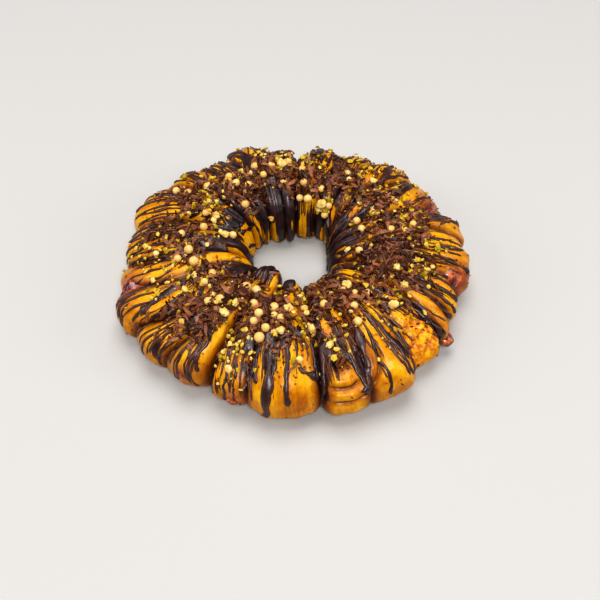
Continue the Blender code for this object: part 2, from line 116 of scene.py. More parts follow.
# The ring of dough: a rope of layered, buttery dough, twisted, closed into a ring, baked golden and glazed.
# Each twist swells between two creases, and the end of the roll is tucked in at the front, beside a torn,
# flaky spot. It is a torus bent onto a grid of places, with the thinnest chocolate as colour.
TWISTS = (  # start in degrees, then in mm: reach, height of the crest, radius in the hole, depth of crease
    (3, 126, 47, 24, 4), (15, 117, 48, 26, 8), (35, 115, 49, 31, 6), (51, 108, 49, 32, 6),
    (65, 102, 50, 30, 7), (89, 101, 48, 26, 10), (104, 112, 50, 27, 3), (123, 106, 49, 31, 8),
    (137, 114, 50, 32, 2), (150, 124, 49, 32, 8), (172, 122, 48, 31, 7), (188, 127, 46, 31, 5),
    (197, 135, 49, 31, 5), (213, 133, 47, 31, 7), (228, 132, 48, 32, 5), (243, 131, 46, 33, 9),
    (256, 137, 50, 35, 5), (278, 138, 49, 34, 10), (292, 137, 50, 33, 2), (309, 129, 46, 31, 6),
    (322, 127, 47, 29, 3), (329, 124, 49, 26, 3), (342, 126, 48, 24, 6),
)
WIDEST_OUTSIDE, WIDEST_IN_HOLE = 15.0 * MM, 7.0 * MM  # heights where the dough is widest
FULLNESS, UNDERCURL, LOBE_FULLNESS = 0.85, 1.35, 2.5
CREST_CREASE, THROAT_CREASE, CREST_SHIFT = 0.75, 0.55, 3.0 * MM
UNEVENNESS, UNEVEN_SCALE = 1.6 * MM, 0.022
SWEEP_MIDDLE, SWEEP_HALF_WIDTH, SWEEP = 208.0, 45.0, 15.0  # degrees that the crest is pushed on at the left
KNOBS = ((241, 146, 11, 10), (267, 138, 6, 4))  # rounded ends: angle, around, radius and height in mm
KNOB_SMOOTH = 3.0 * MM
ROLL_ANGLE, ROLL_AROUND, ROLL_RADIUS, ROLL_FADE = 284.5, 48.0, 30.0 * MM, 18.0
ROLL_HOLLOW, ROLL_HOLLOW_DEPTH = 5.0 * MM, 4.5 * MM
ROLL_LAYERS = ((15.5, 42, 138), (26.0, -25, 122))  # distance in mm, and the directions it runs between
ROLL_GROOVE_WIDTH, ROLL_GROOVE_DEPTH = 1.6 * MM, 3.2 * MM
ROLL_SWELL, ROLL_SWELL_WIDTH, ROLL_SWELL_SHIFT = 1.2 * MM, 2.0, 1.7  # the last two in widths of the groove
TORN_START, TORN_END, TORN_TOP, TORN_FOOT = 308.0, 323.0, 62.0, -5.0
TORN_LEDGES, TORN_LEDGE, TORN_DEPTH, TORN_LEAN, TORN_EDGE = 4, 4.0 * MM, 3.0 * MM, 0.8, 0.2
CLEFT_DEPTH, CLEFT_WIDTH = 1.8 * MM, 1.0 * MM
WRINKLES, WRINKLE_SCALE, TORN_WRINKLES = 0.35 * MM, 0.006, 5.0
RIDGES, RIDGE_SCALE = 1.5 * MM, 16.0
LEANS = (  # how the strands of the rope lean: angle, then degrees of angle for each degree of around
    (0, 0.12), (40, 0.26), (62, 0.08), (95, 0.0), (125, -0.10), (145, -0.06), (165, 0.02), (188, 0.10),
    (205, 0.17), (228, 0.13), (250, 0.05), (272, 0.02), (290, 0.03), (305, 0.13), (320, 0.15),
    (340, 0.12), (360, 0.12),
)
LEAN_LEVEL, STRAND_STRETCH = 60.0, 2400.0
COLUMNS, ROWS_OVER, SPLIT = 720, 134, 3
UNDER_ROWS = (245.0, 260.0, 280.0, 295.0)


def twist_under(angle):
    """The number of the twist at an angle, the share of it gone by, and the degrees to its nearer crease."""
    turned = (angle - TWISTS[0][0]) % 360.0 + TWISTS[0][0]
    number = max(k for k, row in enumerate(TWISTS) if row[0] <= turned)
    start = TWISTS[number][0]
    end = TWISTS[number + 1][0] if number + 1 < len(TWISTS) else TWISTS[0][0] + 360.0
    return number, (turned - start) / (end - start), min(turned - start, end - turned)


def creased(column, share, number, across):
    """A size of the twists in metres, rounded over each twist and dented by a share of the crease."""
    here = TWISTS[number][column]
    before = TWISTS[number - 1]
    after = TWISTS[(number + 1) % len(TWISTS)]
    left = (before[column] + here) / 2 - share * TWISTS[number][4]
    right = (here + after[column]) / 2 - share * after[4]
    low = left + (right - left) * across
    swell = 1.0 - abs(2.0 * across - 1.0) ** LOBE_FULLNESS
    return (low + (here - low) * swell) * MM


def swept(angle, around):
    """The angle, pushed on over the crest where the twists lean to one side."""
    apart = (angle - SWEEP_MIDDLE + 180.0) % 360.0 - 180.0
    if abs(apart) >= SWEEP_HALF_WIDTH:
        return angle
    climbed = math.sin(math.radians(min(max(around, 0.0), 90.0))) ** 2
    return angle + SWEEP * climbed * math.cos(math.radians(90.0 * apart / SWEEP_HALF_WIDTH)) ** 2


def plain_point(angle, around):
    """A place on the dough before it has any wrinkles, and the way out of it."""
    number, across, _ = twist_under(angle)
    reach = creased(1, 1.0, number, across)
    crest = creased(2, CREST_CREASE, number, across)
    throat = creased(3, -THROAT_CREASE, number, across)
    out, up = math.cos(math.radians(around)), math.sin(math.radians(around))
    radius = (reach + throat) / 2 + out * (reach - throat) / 2 - CREST_SHIFT * max(up, 0.0) ** 2
    widest = (WIDEST_OUTSIDE + WIDEST_IN_HOLE) / 2 + out * (WIDEST_OUTSIDE - WIDEST_IN_HOLE) / 2
    height = widest * (1.0 + UNDERCURL * up) if up < 0.0 else widest + (crest - widest) * up**FULLNESS
    turn = math.radians(swept(angle, around))
    point = HOLE + Vector((radius * math.cos(turn), radius * math.sin(turn), height))
    return point, Vector((math.cos(turn) * out, math.sin(turn) * out, max(up, 0.0)))


KNOB_MIDDLES = [
    (plain_point(angle, around)[0], radius * MM, proud * MM) for angle, around, radius, proud in KNOBS
]
ROLL_MIDDLE = plain_point(ROLL_ANGLE, ROLL_AROUND)[0]


def knob_height(point):
    """How far the rounded ends of dough raise a place."""
    raised = 0.0
    for middle, radius, proud in KNOB_MIDDLES:
        apart = (point - middle).length / radius
        raised += proud * math.sqrt(max(0.0, 1.0 - apart * apart))
    return raised


def roll_end_height(point):
    """How far the rolled end raises or sinks a place: a hollow, and a groove beside each of its layers."""
    offset = point - ROLL_MIDDLE
    apart = offset.length
    if apart > ROLL_RADIUS:
        return 0.0
    turn = math.radians(ROLL_ANGLE)
    along = offset.dot(Vector((-math.sin(turn), math.cos(turn), 0.0)))
    across = math.sqrt(max(0.0, apart * apart - along * along))
    direction = math.degrees(math.atan2(math.copysign(across, -offset.z), along))
    height = -ROLL_HOLLOW_DEPTH * math.exp(-((apart / ROLL_HOLLOW) ** 2))
    for radius, first, last in ROLL_LAYERS:
        inside = min(1.0, max(0.0, min(direction - first, last - direction) / ROLL_FADE))
        beyond = (apart - radius * MM) / ROLL_GROOVE_WIDTH
        swell = ROLL_SWELL * math.exp(-((beyond / ROLL_SWELL_WIDTH + ROLL_SWELL_SHIFT) ** 2))
        height += inside * (swell - ROLL_GROOVE_DEPTH * math.exp(-beyond**2))
    return height


def torn_share(angle, around):
    """How much a place is torn, from 0 to 1, and how far up a ledge of the torn layers it is."""
    across = (angle - TORN_START) / (TORN_END - TORN_START)
    down = (TORN_TOP - around) / (TORN_TOP - TORN_FOOT)
    if not (0.0 < across < 1.0 and 0.0 < down < 1.0):
        return 0.0, 0.0
    step = (down * TORN_LEDGES + TORN_LEAN * across) % 1.0
    return min(1.0, min(across, 1.0 - across, down, 1.0 - down) / TORN_EDGE), step


def flow(angle, around):
    """A place for patterns that run long with the strands of dough and change quickly across them."""
    lean = np.interp(angle % 360.0, *zip(*LEANS))
    turn = math.radians(angle + lean * (around - LEAN_LEVEL))
    return Vector((math.cos(turn), math.sin(turn), around / STRAND_STRETCH))


def crust_point(angle, around):
    """A place on the baked crust, with its rounded ends, layers, ridges, wrinkles and clefts."""
    point, outward = plain_point(angle, around)
    torn, step = torn_share(angle, around)
    knob = knob_height(point)
    height = knob + roll_end_height(point) - torn * (TORN_DEPTH + TORN_LEDGE * (0.5 - step))
    height += UNEVENNESS * noise.noise(point / UNEVEN_SCALE)
    height += WRINKLES * noise.noise(point / WRINKLE_SCALE) * (1.0 + TORN_WRINKLES * torn)
    height += RIDGES * noise.noise(flow(angle, around) * RIDGE_SCALE) * (1.0 - min(1.0, knob / KNOB_SMOOTH))
    apart = math.radians(twist_under(angle)[2]) * (point - HOLE).to_2d().length
    height -= CLEFT_DEPTH * math.exp(-((apart / CLEFT_WIDTH) ** 2)) * outward.length
    point += outward * height
    point.z = max(point.z, 0.0)
    return point


# a torus with a point for each place of a grid, from foot to foot over the dough and back under it
foot = math.degrees(math.asin(1.0 / UNDERCURL))
rows = np.concatenate([np.linspace(-foot, 180.0 + foot, ROWS_OVER), UNDER_ROWS])
angles = np.arange(COLUMNS) * 360.0 / COLUMNS
grid = np.array([[crust_point(angle, around) for around in rows] for angle in angles])
bpy.ops.mesh.primitive_torus_add(
    major_segments=COLUMNS // SPLIT, minor_segments=len(rows) // SPLIT, major_radius=1.0, minor_radius=0.5
)
crust = bpy.context.object
crust.name = "baked_crust"
bpy.ops.object.mode_set(mode="EDIT")
bpy.ops.mesh.select_all(action="SELECT")
bpy.ops.mesh.subdivide(number_cuts=SPLIT - 1)
bpy.ops.object.mode_set(mode="OBJECT")
torus = np.array([vertex.co[:] for vertex in crust.data.vertices])
turned = np.arctan2(torus[:, 1], torus[:, 0]) / math.tau
wound = np.arctan2(torus[:, 2], np.hypot(torus[:, 0], torus[:, 1]) - 1.0) / math.tau
in_grid = (
    np.rint(turned * COLUMNS).astype(int) % COLUMNS,
    np.rint(wound * len(rows)).astype(int) % len(rows),
)
crust.data.vertices.foreach_set("co", np.clip(grid, cad_low, cad_high)[in_grid].astype(np.float32).ravel())
crust.data.update()
crust.data.shade_smooth()

# where chocolate lies on the crust: pools, and slits where the crust stays bare, with their angle, around,
# lean (degrees of angle for each degree that it runs down), half width and half height in degrees, strength
POOLS = (
    (16, 112, 0.15, 1.8, 18, 1.2), (20, 150, 0.2, 26, 44, 0.7), (20.5, 108, 0.2, 2.6, 16, 0.9),
    (33, 124, 0.25, 4, 20, 1.0), (50, 122, 0.3, 8, 16, 1.2), (60, 166, 0.1, 24, 30, 1.0),
    (62, 92, 0.08, 3.6, 26, 1.0), (77, 58, 0, 2.4, 14, 1.2), (90, 132, 0, 5, 14, 0.8),
    (103, 140, 0, 19, 48, 1.2), (105, 122, 0, 5, 24, 1.3), (112, 166, 0, 7, 16, 1.5),
    (117.5, 78, 0, 3, 12, 1.6), (118.5, 74, -0.15, 2.4, 18, 1.3), (125, 66, 0, 5, 20, 1.2),
    (128, 136, -0.1, 15, 36, 1.1), (152, 108, 0, 6, 8, 1.2), (158, 129, 0, 14, 13, 2.4),
    (174, 128, 0, 6, 22, 1.6), (182, 145, 0, 3.6, 42, 1.4), (188, 110, 0.02, 2.2, 26, 1.4),
    (196.2, 60, 0.16, 1.0, 36, 1.4), (197, 118, 0.02, 1.7, 30, 1.5), (203, 62, 0.16, 1.4, 24, 1.2),
    (206, 130, 0.05, 7, 32, 1.3), (221, 128, 0.1, 12, 26, 0.8), (221, 62, 0.13, 11, 13, 0.75),
    (223, 15, 0.05, 5, 24, 0.75), (225, 168, 0, 24, 20, 0.7), (241, 144, 0, 10, 15, 2.4),
    (243.8, 10, 0, 1.7, 42, 1.7), (246, 5, 0, 2.4, 20, 0.7), (255, 60, 0, 4, 14, 1.2),
    (256, 40, 0.1, 3, 9, 1.3), (262.5, 52, 0, 2.4, 14, 1.0), (264, 72, 0, 7, 11, 0.8),
    (266, 136, 0, 6, 14, 2.0), (277, 146, 0, 5, 12, 0.7), (278.7, 30, 0, 1.4, 34, 1.3),
    # the pool in the roll's hollow at 284.8, 52 is chocolate, and is also dark enough to serve as painted
    # shade for the hollow
    (284.8, 52, -0.3, 2.6, 5.5, 1.5), (290, 165, 0, 26, 22, 0.7), (291, 42, 0, 1.6, 24, 0.8),
    (300, 130, 0, 8, 12, 0.7), (305, 42, 0.1, 2.2, 16, 0.9), (317, 142, 0, 8, 9, 1.1),
    (322, 20, 0, 2.2, 32, 0.6), (333, 152, 0.1, 8, 30, 1.0), (336, 106, 0.1, 7, 13, 1.1),
    (345, 100, 0.12, 12, 16, 0.6), (350, 150, 0.12, 26, 42, 0.72),
)
SLITS = (
    (3, 45, 0.12, 3.2, 24, 1.5), (5, 172, 0, 2.2, 9, 1.3), (17.5, 85, 0.1, 2, 12, 0.9),
    (22.5, 156, 0.1, 0.9, 24, 1.2), (25, 58, 0.3, 3, 17, 1.5), (25.5, 118, 0.2, 2.6, 13, 1.8),
    (32, 68, 0.2, 3.2, 20, 1.4), (36, 50, 0, 3.2, 22, 1.3), (40, 90, 0.2, 2.4, 11, 1.2),
    (45, 84, 0.3, 2, 12, 1.2), (46, 170, 0, 2.8, 15, 1.6), (46.5, 120, 0.35, 1.2, 12, 1.0),
    (47, 65, 0.2, 2.4, 11, 1.2), (50.5, 100, 0.3, 2, 10, 1.3), (51.5, 54, 0.05, 2.2, 28, 1.5),
    (52.5, 179, 0, 3.4, 18, 2.0), (59.5, 74, 0.05, 1.5, 15, 1.1), (69, 75, 0.05, 2.6, 18, 1.0),
    (73, 84, 0, 1.6, 10, 1.1), (79.5, 172, 0, 6.2, 18, 2.6), (84.5, 90, 0.26, 2, 18, 1.4),
    (95, 163, 0, 2.4, 9, 0.9), (100, 88, 0, 2, 14, 0.9), (103.3, 182, 0, 1.6, 13, 1.7),
    (108.5, 80, 0.02, 2.4, 26, 1.9), (113, 62, 0.3, 4, 5, 1.6), (120.3, 177, 0, 1.8, 20, 2.0),
    (133, 80, -0.1, 2, 13, 1.1), (137, 99, 0.2, 3, 10, 1.2), (139.3, 162, 0.22, 3.7, 17, 2.5),
    (141.5, 80, -0.2, 2, 13, 1.2), (147.7, 171, 0, 2.2, 18, 2.3), (152.5, 74, -0.15, 3.2, 30, 1.8),
    (159, 66, -0.1, 1.5, 18, 0.9), (160, 163, 0.1, 9.5, 23, 2.8), (163, 125, 0, 3, 5, 1.7),
    (167, 47, 0.03, 3.6, 32, 2.1), (171, 84, 0.05, 1.4, 20, 0.8), (175.5, 118, 0.05, 1.6, 14, 0.8),
    (177, 24, 0.05, 3, 24, 1.3), (185.5, 64, 0.05, 1.8, 18, 1.0), (186, 145, 0, 1.7, 19, 2.0),
    (193, 150, 0, 3, 10, 1.3), (193, 55, 0.12, 2, 22, 1.2), (193.2, 111, 0.03, 2.4, 22, 2.6),
    (201, 48, 0.2, 3.8, 42, 2.4), (206, 60, 0.2, 1.2, 20, 1.3), (214.5, 20, 0.05, 2.6, 25, 1.7),
    (223.5, 80, 0.1, 1.5, 9, 1.5), (230, 86, 0, 3.8, 10, 1.8), (236.7, 24, 0.05, 1.7, 29, 1.9),
    (241, 68, 0, 4.2, 22, 2.0), (241.3, 24, 0.01, 1.5, 32, 1.9), (242, 107, 0, 1.8, 14, 1.2),
    (251, 0, 0, 3, 18, 1.2), (252, 122, 0, 3.2, 20, 1.9), (254.5, 52, 0.1, 1.2, 14, 1.0),
    (258, 4, 0, 3.2, 20, 1.6), (266, 38, 0.05, 1.7, 19, 1.7), (266, 4, 0, 3, 18, 1.5),
    (268, 112, 0, 3, 8, 0.8), (270, 95, 0, 3, 8, 1.2), (273, 88, -0.1, 2.4, 14, 1.3),
    (273.5, 15, 0, 4.2, 29, 2.0), (275, 58, 0.03, 2, 19, 1.8), (276, 118, 0.05, 3.6, 26, 2.1),
    (283, 78, 0.1, 1.8, 14, 1.0), (286, 24, 0, 4.6, 20, 1.8), (289, 86, 0.05, 1.3, 11, 1.2),
    (297, 30, 0, 4.6, 36, 1.6), (304, 78, 0.1, 1.6, 14, 0.9), (313, 30, 0.05, 5.6, 38, 1.6),
    (315, 78, 0.1, 2, 12, 1.2), (317.5, 122, -0.3, 2.2, 10, 1.5), (319.5, 84, 0.05, 1.6, 13, 1.3),
    (327, 34, 0.08, 4.4, 32, 1.7), (327, 152, 0, 1.4, 12, 1.0), (334, 143, 0, 2.4, 5, 1.3),
    (340, 34, 0.1, 4.4, 20, 2.2), (347, 145, 0, 1.4, 12, 1.4), (353, 50, 0.12, 3, 22, 1.2),
    (353, 112, 0, 1.4, 8, 1.2),
)
POOL_DEPTH, SLIT_DEPTH = 1.5, 1.8
SAUCE_LEVELS = (  # around, and how much chocolate lies there
    (-50, -1.5), (0, -1.05), (20, -0.72), (40, -0.42), (60, -0.2), (80, -0.05), (110, 0.0), (150, 0.0),
)
SAUCE_STREAKS = ((14.0, 1.0), (34.0, 0.65))  # scale and strength


def within(patches, angle, around):
    """How far inside some leaning, oval patches a place is: 0 outside, and their strength in the middle."""
    inside = np.zeros(np.broadcast(angle, around).shape)
    for middle, level, lean, half_width, half_height, strength in patches:
        side = ((angle + lean * (around - level) - middle + 180.0) % 360.0 - 180.0) / half_width
        inside = np.maximum(inside, strength * (1.0 - side**2 - ((around - level) / half_height) ** 2))
    return inside


def sauce(at_angles, at_arounds):
    """How much chocolate lies over a grid: below 0 hardly any, and from about 0.3 a coat of it."""
    angle, around = np.asarray(at_angles)[:, None], np.asarray(at_arounds)[None, :]
    amount = np.interp(around, *zip(*SAUCE_LEVELS)) + POOL_DEPTH * within(POOLS, angle, around)
    amount = amount - SLIT_DEPTH * within(SLITS, angle, around)
    flows = [[flow(a, r) for r in at_arounds] for a in at_angles]
    for scale, strength in SAUCE_STREAKS:
        amount = amount + strength * np.array([[noise.noise(at * scale) for at in line] for line in flows])
    return amount


# how near a place is to the plum, how torn it is, a painted shade near the creases and in the grooves of the
# roll with a darker bake round the rolled end, and how much chocolate is on it
LUMPS = (  # the plum that shows: angle, around and size in mm
    (344.5, 22, 9.0), (17.5, 34, 12.0), (198.5, 19, 11.0),
    (325.5, -14, 8.0), (252.0, -6, 7.0), (235.0, 6, 7.0),
)
STAIN_REACH, CREASE_SHADE_REACH, GROOVE_SHADE, ROLL_SHADE = 1.3, 4.0, 0.8, 0.42


def mark(piece, name, values):
    """Keeps a number for each point of a piece, for its finish to read."""
    kept = piece.data.attributes.new(name, "FLOAT", "POINT")
    kept.data.foreach_set("value", np.asarray(values, np.float32))


lump_places = np.array([plain_point(angle, around)[0] for angle, around, _ in LUMPS])
lump_sizes = np.array([size for _, _, size in LUMPS]) * MM
apart = np.linalg.norm(grid[:, :, None, :] - lump_places[None, None], axis=3)
stain = np.exp(-((apart / (STAIN_REACH * lump_sizes)) ** 2)).sum(2).clip(0, 1)
torn_map = np.array([[torn_share(angle, around)[0] for around in rows] for angle in angles])
# painted shade: the crust is darkened near each crease and in the grooves of the roll, where shade falls,
# and darkened as a deeper bake round the rolled end
shade_and_bake_map = np.array([min(twist_under(angle)[2], CREASE_SHADE_REACH) / CREASE_SHADE_REACH for angle in angles])
shade_and_bake_map = shade_and_bake_map[:, None] * np.ones(len(rows))
dug = [[min(0.0, roll_end_height(plain_point(angle, around)[0])) for around in rows] for angle in angles]
shade_and_bake_map = np.minimum(shade_and_bake_map, 1.0 + GROOVE_SHADE * np.array(dug) / ROLL_GROOVE_DEPTH).clip(0, 1)
rolled = np.exp(-((np.linalg.norm(grid - np.array(ROLL_MIDDLE), axis=2) / ROLL_RADIUS) ** 4))
shade_and_bake_map = shade_and_bake_map * (1.0 - ROLL_SHADE * rolled)
mark(crust, "stain", stain[in_grid])
mark(crust, "torn", torn_map[in_grid])
# the painted shade of the creases and grooves, with the darker bake round the rolled end, kept as "swell"
mark(crust, "swell", shade_and_bake_map[in_grid])
mark(crust, "sauce", sauce(angles, rows)[in_grid])
flow_map = np.array([[flow(angle, around) for around in rows] for angle in angles])
crust.data.attributes.new("flow", "FLOAT_VECTOR", "POINT").data.foreach_set(
    "vector", flow_map[in_grid].astype(np.float32).ravel()
)

# the glazed crust's colours; in a pair, the number is the colour's place on a scale from 0 to 1
BAKED = ((0.38, (0.39, 0.128, 0.001)), (0.49, (0.57, 0.243, 0.003)), (0.61, (0.69, 0.37, 0.009)))
# painted shade for the creases and the roll's grooves, also used for the darker bake round the rolled end
SHADE_AND_BAKE = ((0.0, (0.10, 0.045, 0.03)), (0.28, (0.5, 0.36, 0.26)), (0.7, (1.0, 1.0, 1.0)))
TORN_LAYERS = ((0.34, (0.28, 0.05, 0.003)), (0.47, (0.54, 0.19, 0.003)), (0.6, (0.76, 0.38, 0.012)))
PLUM_STAIN = ((0.35, (0.07, 0.010, 0.012)), (0.55, (0.28, 0.045, 0.03)), (0.7, (0.55, 0.20, 0.03)))
LAYER_EDGE, SPECK = (0.30, 0.065, 0.002, 1.0), (0.16, 0.04, 0.004, 1.0)
CHOCOLATE_FILM, CHOCOLATE_COAT = (0.10, 0.030, 0.009, 1.0), (0.024, 0.010, 0.011, 1.0)
STREAK_STRENGTH = 3.2


def new_finish(name):
    """A material, its nodes and links, its shader, and a node that gives places on the piece."""
    finish = bpy.data.materials.new(name)
    finish.use_nodes = True
    nodes, links = finish.node_tree.nodes, finish.node_tree.links
    return finish, nodes, links, nodes["Principled BSDF"], nodes.new("ShaderNodeTexCoord")


def add_noise(scale, detail=4.0, roughness=0.55, vector=None):
    texture = nodes.new("ShaderNodeTexNoise")
    texture.inputs["Scale"].default_value = scale
    texture.inputs["Detail"].default_value = detail
    texture.inputs["Roughness"].default_value = roughness
    links.new(vector or place.outputs["Object"], texture.inputs["Vector"])
    return texture.outputs["Fac"]


def add_math(operation, first, second=0.0):
    node = nodes.new("ShaderNodeMath")
    node.operation = operation
    for value, socket in zip((first, second), node.inputs):
        if isinstance(value, bpy.types.NodeSocket):
            links.new(value, socket)
        else:
            socket.default_value = value
    return node.outputs[0]


def add_ramp(factor, stops):
    ramp = nodes.new("ShaderNodeValToRGB")
    elements = ramp.color_ramp.elements
    while len(elements) < len(stops):
        elements.new(0.5)
    for element, (position, colour) in zip(elements, stops):
        element.position = position
        element.color = (*colour, 1.0)
    links.new(factor, ramp.inputs["Fac"])
    return ramp.outputs["Color"]


def add_fade(factor, start, end, first=0.0, last=1.0):
    """Greys that go from first to last between two places on a scale."""
    return add_ramp(factor, ((start, (first, first, first)), (end, (last, last, last))))


def add_mix(factor, first, second, blend="MIX"):
    """A mix of two colours: 0 is the socket of its factor, 6 and 7 are the colours' and 2 is the mix."""
    mix = nodes.new("ShaderNodeMix")
    mix.data_type = "RGBA"
    mix.blend_type = blend
    for value, socket in ((factor, mix.inputs[0]), (first, mix.inputs[6]), (second, mix.inputs[7])):
        if isinstance(value, bpy.types.NodeSocket):
            links.new(value, socket)
        else:
            socket.default_value = value
    return mix.outputs[2]


def add_attribute(name, output="Fac"):
    attribute = nodes.new("ShaderNodeAttribute")
    attribute.attribute_name = name
    return attribute.outputs[output]


def add_bump(height, distance, strength=1.0, under=None):
    bump = nodes.new("ShaderNodeBump")
    bump.inputs["Distance"].default_value = distance
    bump.inputs["Strength"].default_value = strength
    links.new(height, bump.inputs["Height"])
    if under:
        links.new(under, bump.inputs["Normal"])
    return bump.outputs["Normal"]


crust_finish, nodes, links, shader, place = new_finish("glazed crust")
strands = add_attribute("flow", "Vector")
strand_parts = nodes.new("ShaderNodeSeparateXYZ")
links.new(strands, strand_parts.inputs[0])
blotches = add_math("MULTIPLY", add_noise(45.0), 0.65)
long_blotches = add_math("MULTIPLY", add_noise(26.0, 3.0, 0.6, strands), 0.35)
higher = add_math("MULTIPLY", strand_parts.outputs["Z"], 1.1)
bake = add_ramp(add_math("ADD", add_math("ADD", blotches, long_blotches), higher), BAKED)
layers = add_math("ABSOLUTE", add_math("SUBTRACT", add_noise(15.0, 1.0, 0.4, strands), 0.5))
bake = add_mix(add_fade(layers, 0.003, 0.012, 0.3, 0.0), bake, LAYER_EDGE)
mottle = add_ramp(add_noise(330.0), ((0.35, (0.80, 0.70, 0.6)), (0.55, (1.0, 1.0, 1.0))))
colour = add_mix(0.8, bake, mottle, "MULTIPLY")
colour = add_mix(add_fade(add_noise(620.0, 2.0), 0.68, 0.74), colour, SPECK)
# multiplies in the painted shade of the creases and grooves, and the darker bake round the rolled end
colour = add_mix(1.0, colour, add_ramp(add_attribute("swell"), SHADE_AND_BAKE), "MULTIPLY")
colour = add_mix(add_attribute("torn"), colour, add_ramp(add_noise(260.0, 4.0, 0.7), TORN_LAYERS))
colour = add_mix(add_attribute("stain"), colour, add_ramp(add_noise(160.0), PLUM_STAIN))
streaks = add_math("SUBTRACT", add_noise(85.0, 3.0, 0.6, strands), 0.5)
wet = add_math("ADD", add_attribute("sauce"), add_math("MULTIPLY", streaks, STREAK_STRENGTH))
film = add_fade(add_math("ADD", wet, 0.5), 0.38, 0.62)
colour = add_mix(film, colour, CHOCOLATE_FILM)
colour = add_mix(add_fade(wet, 0.22, 0.5), colour, CHOCOLATE_COAT)
links.new(colour, shader.inputs["Base Color"])
shader.inputs["Roughness"].default_value = 0.3
shader.inputs["Specular IOR Level"].default_value = 0.28
relief = add_bump(add_noise(170.0), 0.0008, 0.5, add_bump(add_noise(18.0, 3.0, 0.5, strands), 0.0012, 0.4))
relief = add_bump(film, 0.0007, 0.8, relief)
links.new(add_bump(add_noise(700.0), 0.0002, 0.6, relief), shader.inputs["Normal"])
crust.data.materials.append(crust_finish)
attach(crust, "root")
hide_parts("pastry")

# the way out of the crust at every place of its grid, for seating what lies on it
NOT_ZERO = 1e-12
across_columns = np.roll(grid, -1, 0) - np.roll(grid, 1, 0)
along_rows = np.roll(grid, -1, 1) - np.roll(grid, 1, 1)
ways_out = np.cross(across_columns, along_rows)
ways_out /= np.linalg.norm(ways_out, axis=2, keepdims=True) + NOT_ZERO
LAST_ROW = ROWS_OVER - 1.001  # just short of the last row over the dough, so that a row follows it


def spot(angle, around):
    """The place on the crust at an angle and around, the way out of it, and the way on round the dough."""
    column_share = (angle % 360.0) / 360.0 * COLUMNS
    row_share = (around + foot) / (180.0 + 2 * foot) * (ROWS_OVER - 1)
    row_share = min(max(row_share, 0.0), LAST_ROW)
    column, row = int(column_share), int(row_share)
    s, t = column_share - column, row_share - row
    column, beyond = column % COLUMNS, (column + 1) % COLUMNS
    weights = ((1 - s) * (1 - t), s * (1 - t), (1 - s) * t, s * t)
    corners = ((column, row), (beyond, row), (column, row + 1), (beyond, row + 1))
    at = sum(weight * grid[corner] for weight, corner in zip(weights, corners))
    out = sum(weight * ways_out[corner] for weight, corner in zip(weights, corners))
    out /= np.linalg.norm(out)
    on = grid[column, row + 1] - grid[column, row]
    on = on - out * on.dot(out)
    return at, out, on / (np.linalg.norm(on) + NOT_ZERO)


# The plum filling: cooked plums that bulge, wet and dark red, from the seams that opened in the oven.
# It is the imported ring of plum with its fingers, made smooth and lumpy.
PLUM_LUMP, PLUM_LUMP_SCALE = 1.1 * MM, 0.0045
PLUM_FLESH = ((0.36, (0.045, 0.008, 0.012)), (0.5, (0.22, 0.035, 0.022)), (0.66, (0.55, 0.18, 0.035)))
MERGE_DISTANCE = 0.01 * MM
PLUM_SMOOTHINGS = 2
bpy.ops.object.select_all(action="DESELECT")
plum = bpy.data.objects.new("plum_lumps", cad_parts["plum_filling"].data.copy())
bpy.context.scene.collection.objects.link(plum)
plum.data.materials.clear()
bpy.context.view_layer.objects.active = plum
plum.select_set(True)
bpy.ops.object.mode_set(mode="EDIT")
bpy.ops.mesh.select_all(action="SELECT")
bpy.ops.mesh.remove_doubles(threshold=MERGE_DISTANCE)
bpy.ops.mesh.normals_make_consistent(inside=False)
bpy.ops.object.mode_set(mode="OBJECT")
smooth = plum.modifiers.new("smooth", "SUBSURF")
smooth.levels = smooth.render_levels = PLUM_SMOOTHINGS
bpy.ops.object.modifier_apply(modifier=smooth.name)
moves = [
    vertex.normal * PLUM_LUMP * noise.noise(vertex.co / PLUM_LUMP_SCALE) for vertex in plum.data.vertices
]
for vertex, move in zip(plum.data.vertices, moves):
    vertex.co += move
plum.data.shade_smooth()
plum_finish, nodes, links, shader, place = new_finish("wet plum")
links.new(add_ramp(add_noise(230.0), PLUM_FLESH), shader.inputs["Base Color"])
shader.inputs["Roughness"].default_value = 0.22
shader.inputs["Coat Weight"].default_value = 0.4
shader.inputs["Coat Roughness"].default_value = 0.06
links.new(add_bump(add_noise(420.0), 0.0006, 0.6), shader.inputs["Normal"])
plum.data.materials.append(plum_finish)
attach(plum, "root")
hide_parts("plum_filling")


# Chocolate in the hole and over its rim: dark chocolate poured over the crest, which ran down the walls of
# the hole in a thin, uneven coat, with slits where the crust stays bare. It is a sheet over the crust, thick
# where the most chocolate lies and sunk into the crust at its edges.
COAT_COLUMNS, COAT_ROWS, COAT_START, COAT_END, COAT_FADE = 600, 110, 50.0, 194.0, 6.0
COAT_RISE, COAT_BODY, COAT_SUNK = 1.2 * MM, 0.5 * MM, 0.4 * MM
COAT_LEAST, COAT_FADE_DEPTH, COAT_THINNING = 0.3, 2.0, 2.5  # in amounts of chocolate, as sauce() gives
DARK_CHOCOLATE = ((0.35, (0.014, 0.006, 0.007)), (0.65, (0.044, 0.018, 0.018)))
THIN_CHOCOLATE = (0.17, 0.050, 0.016, 1.0)
coat_angles = np.arange(COAT_COLUMNS) * 360.0 / COAT_COLUMNS
coat_rows = np.linspace(COAT_START, COAT_END, COAT_ROWS)
edge = np.minimum(1.0, np.minimum(coat_rows - COAT_START, COAT_END - coat_rows) / COAT_FADE)[None, :]
depths = np.minimum(sauce(coat_angles, coat_rows) - COAT_LEAST, 1.0) - COAT_FADE_DEPTH * (1.0 - edge)
rises = np.where(depths > 0.0, COAT_RISE * np.sqrt(np.abs(depths)), -COAT_SUNK)
shell = bmesh.new()
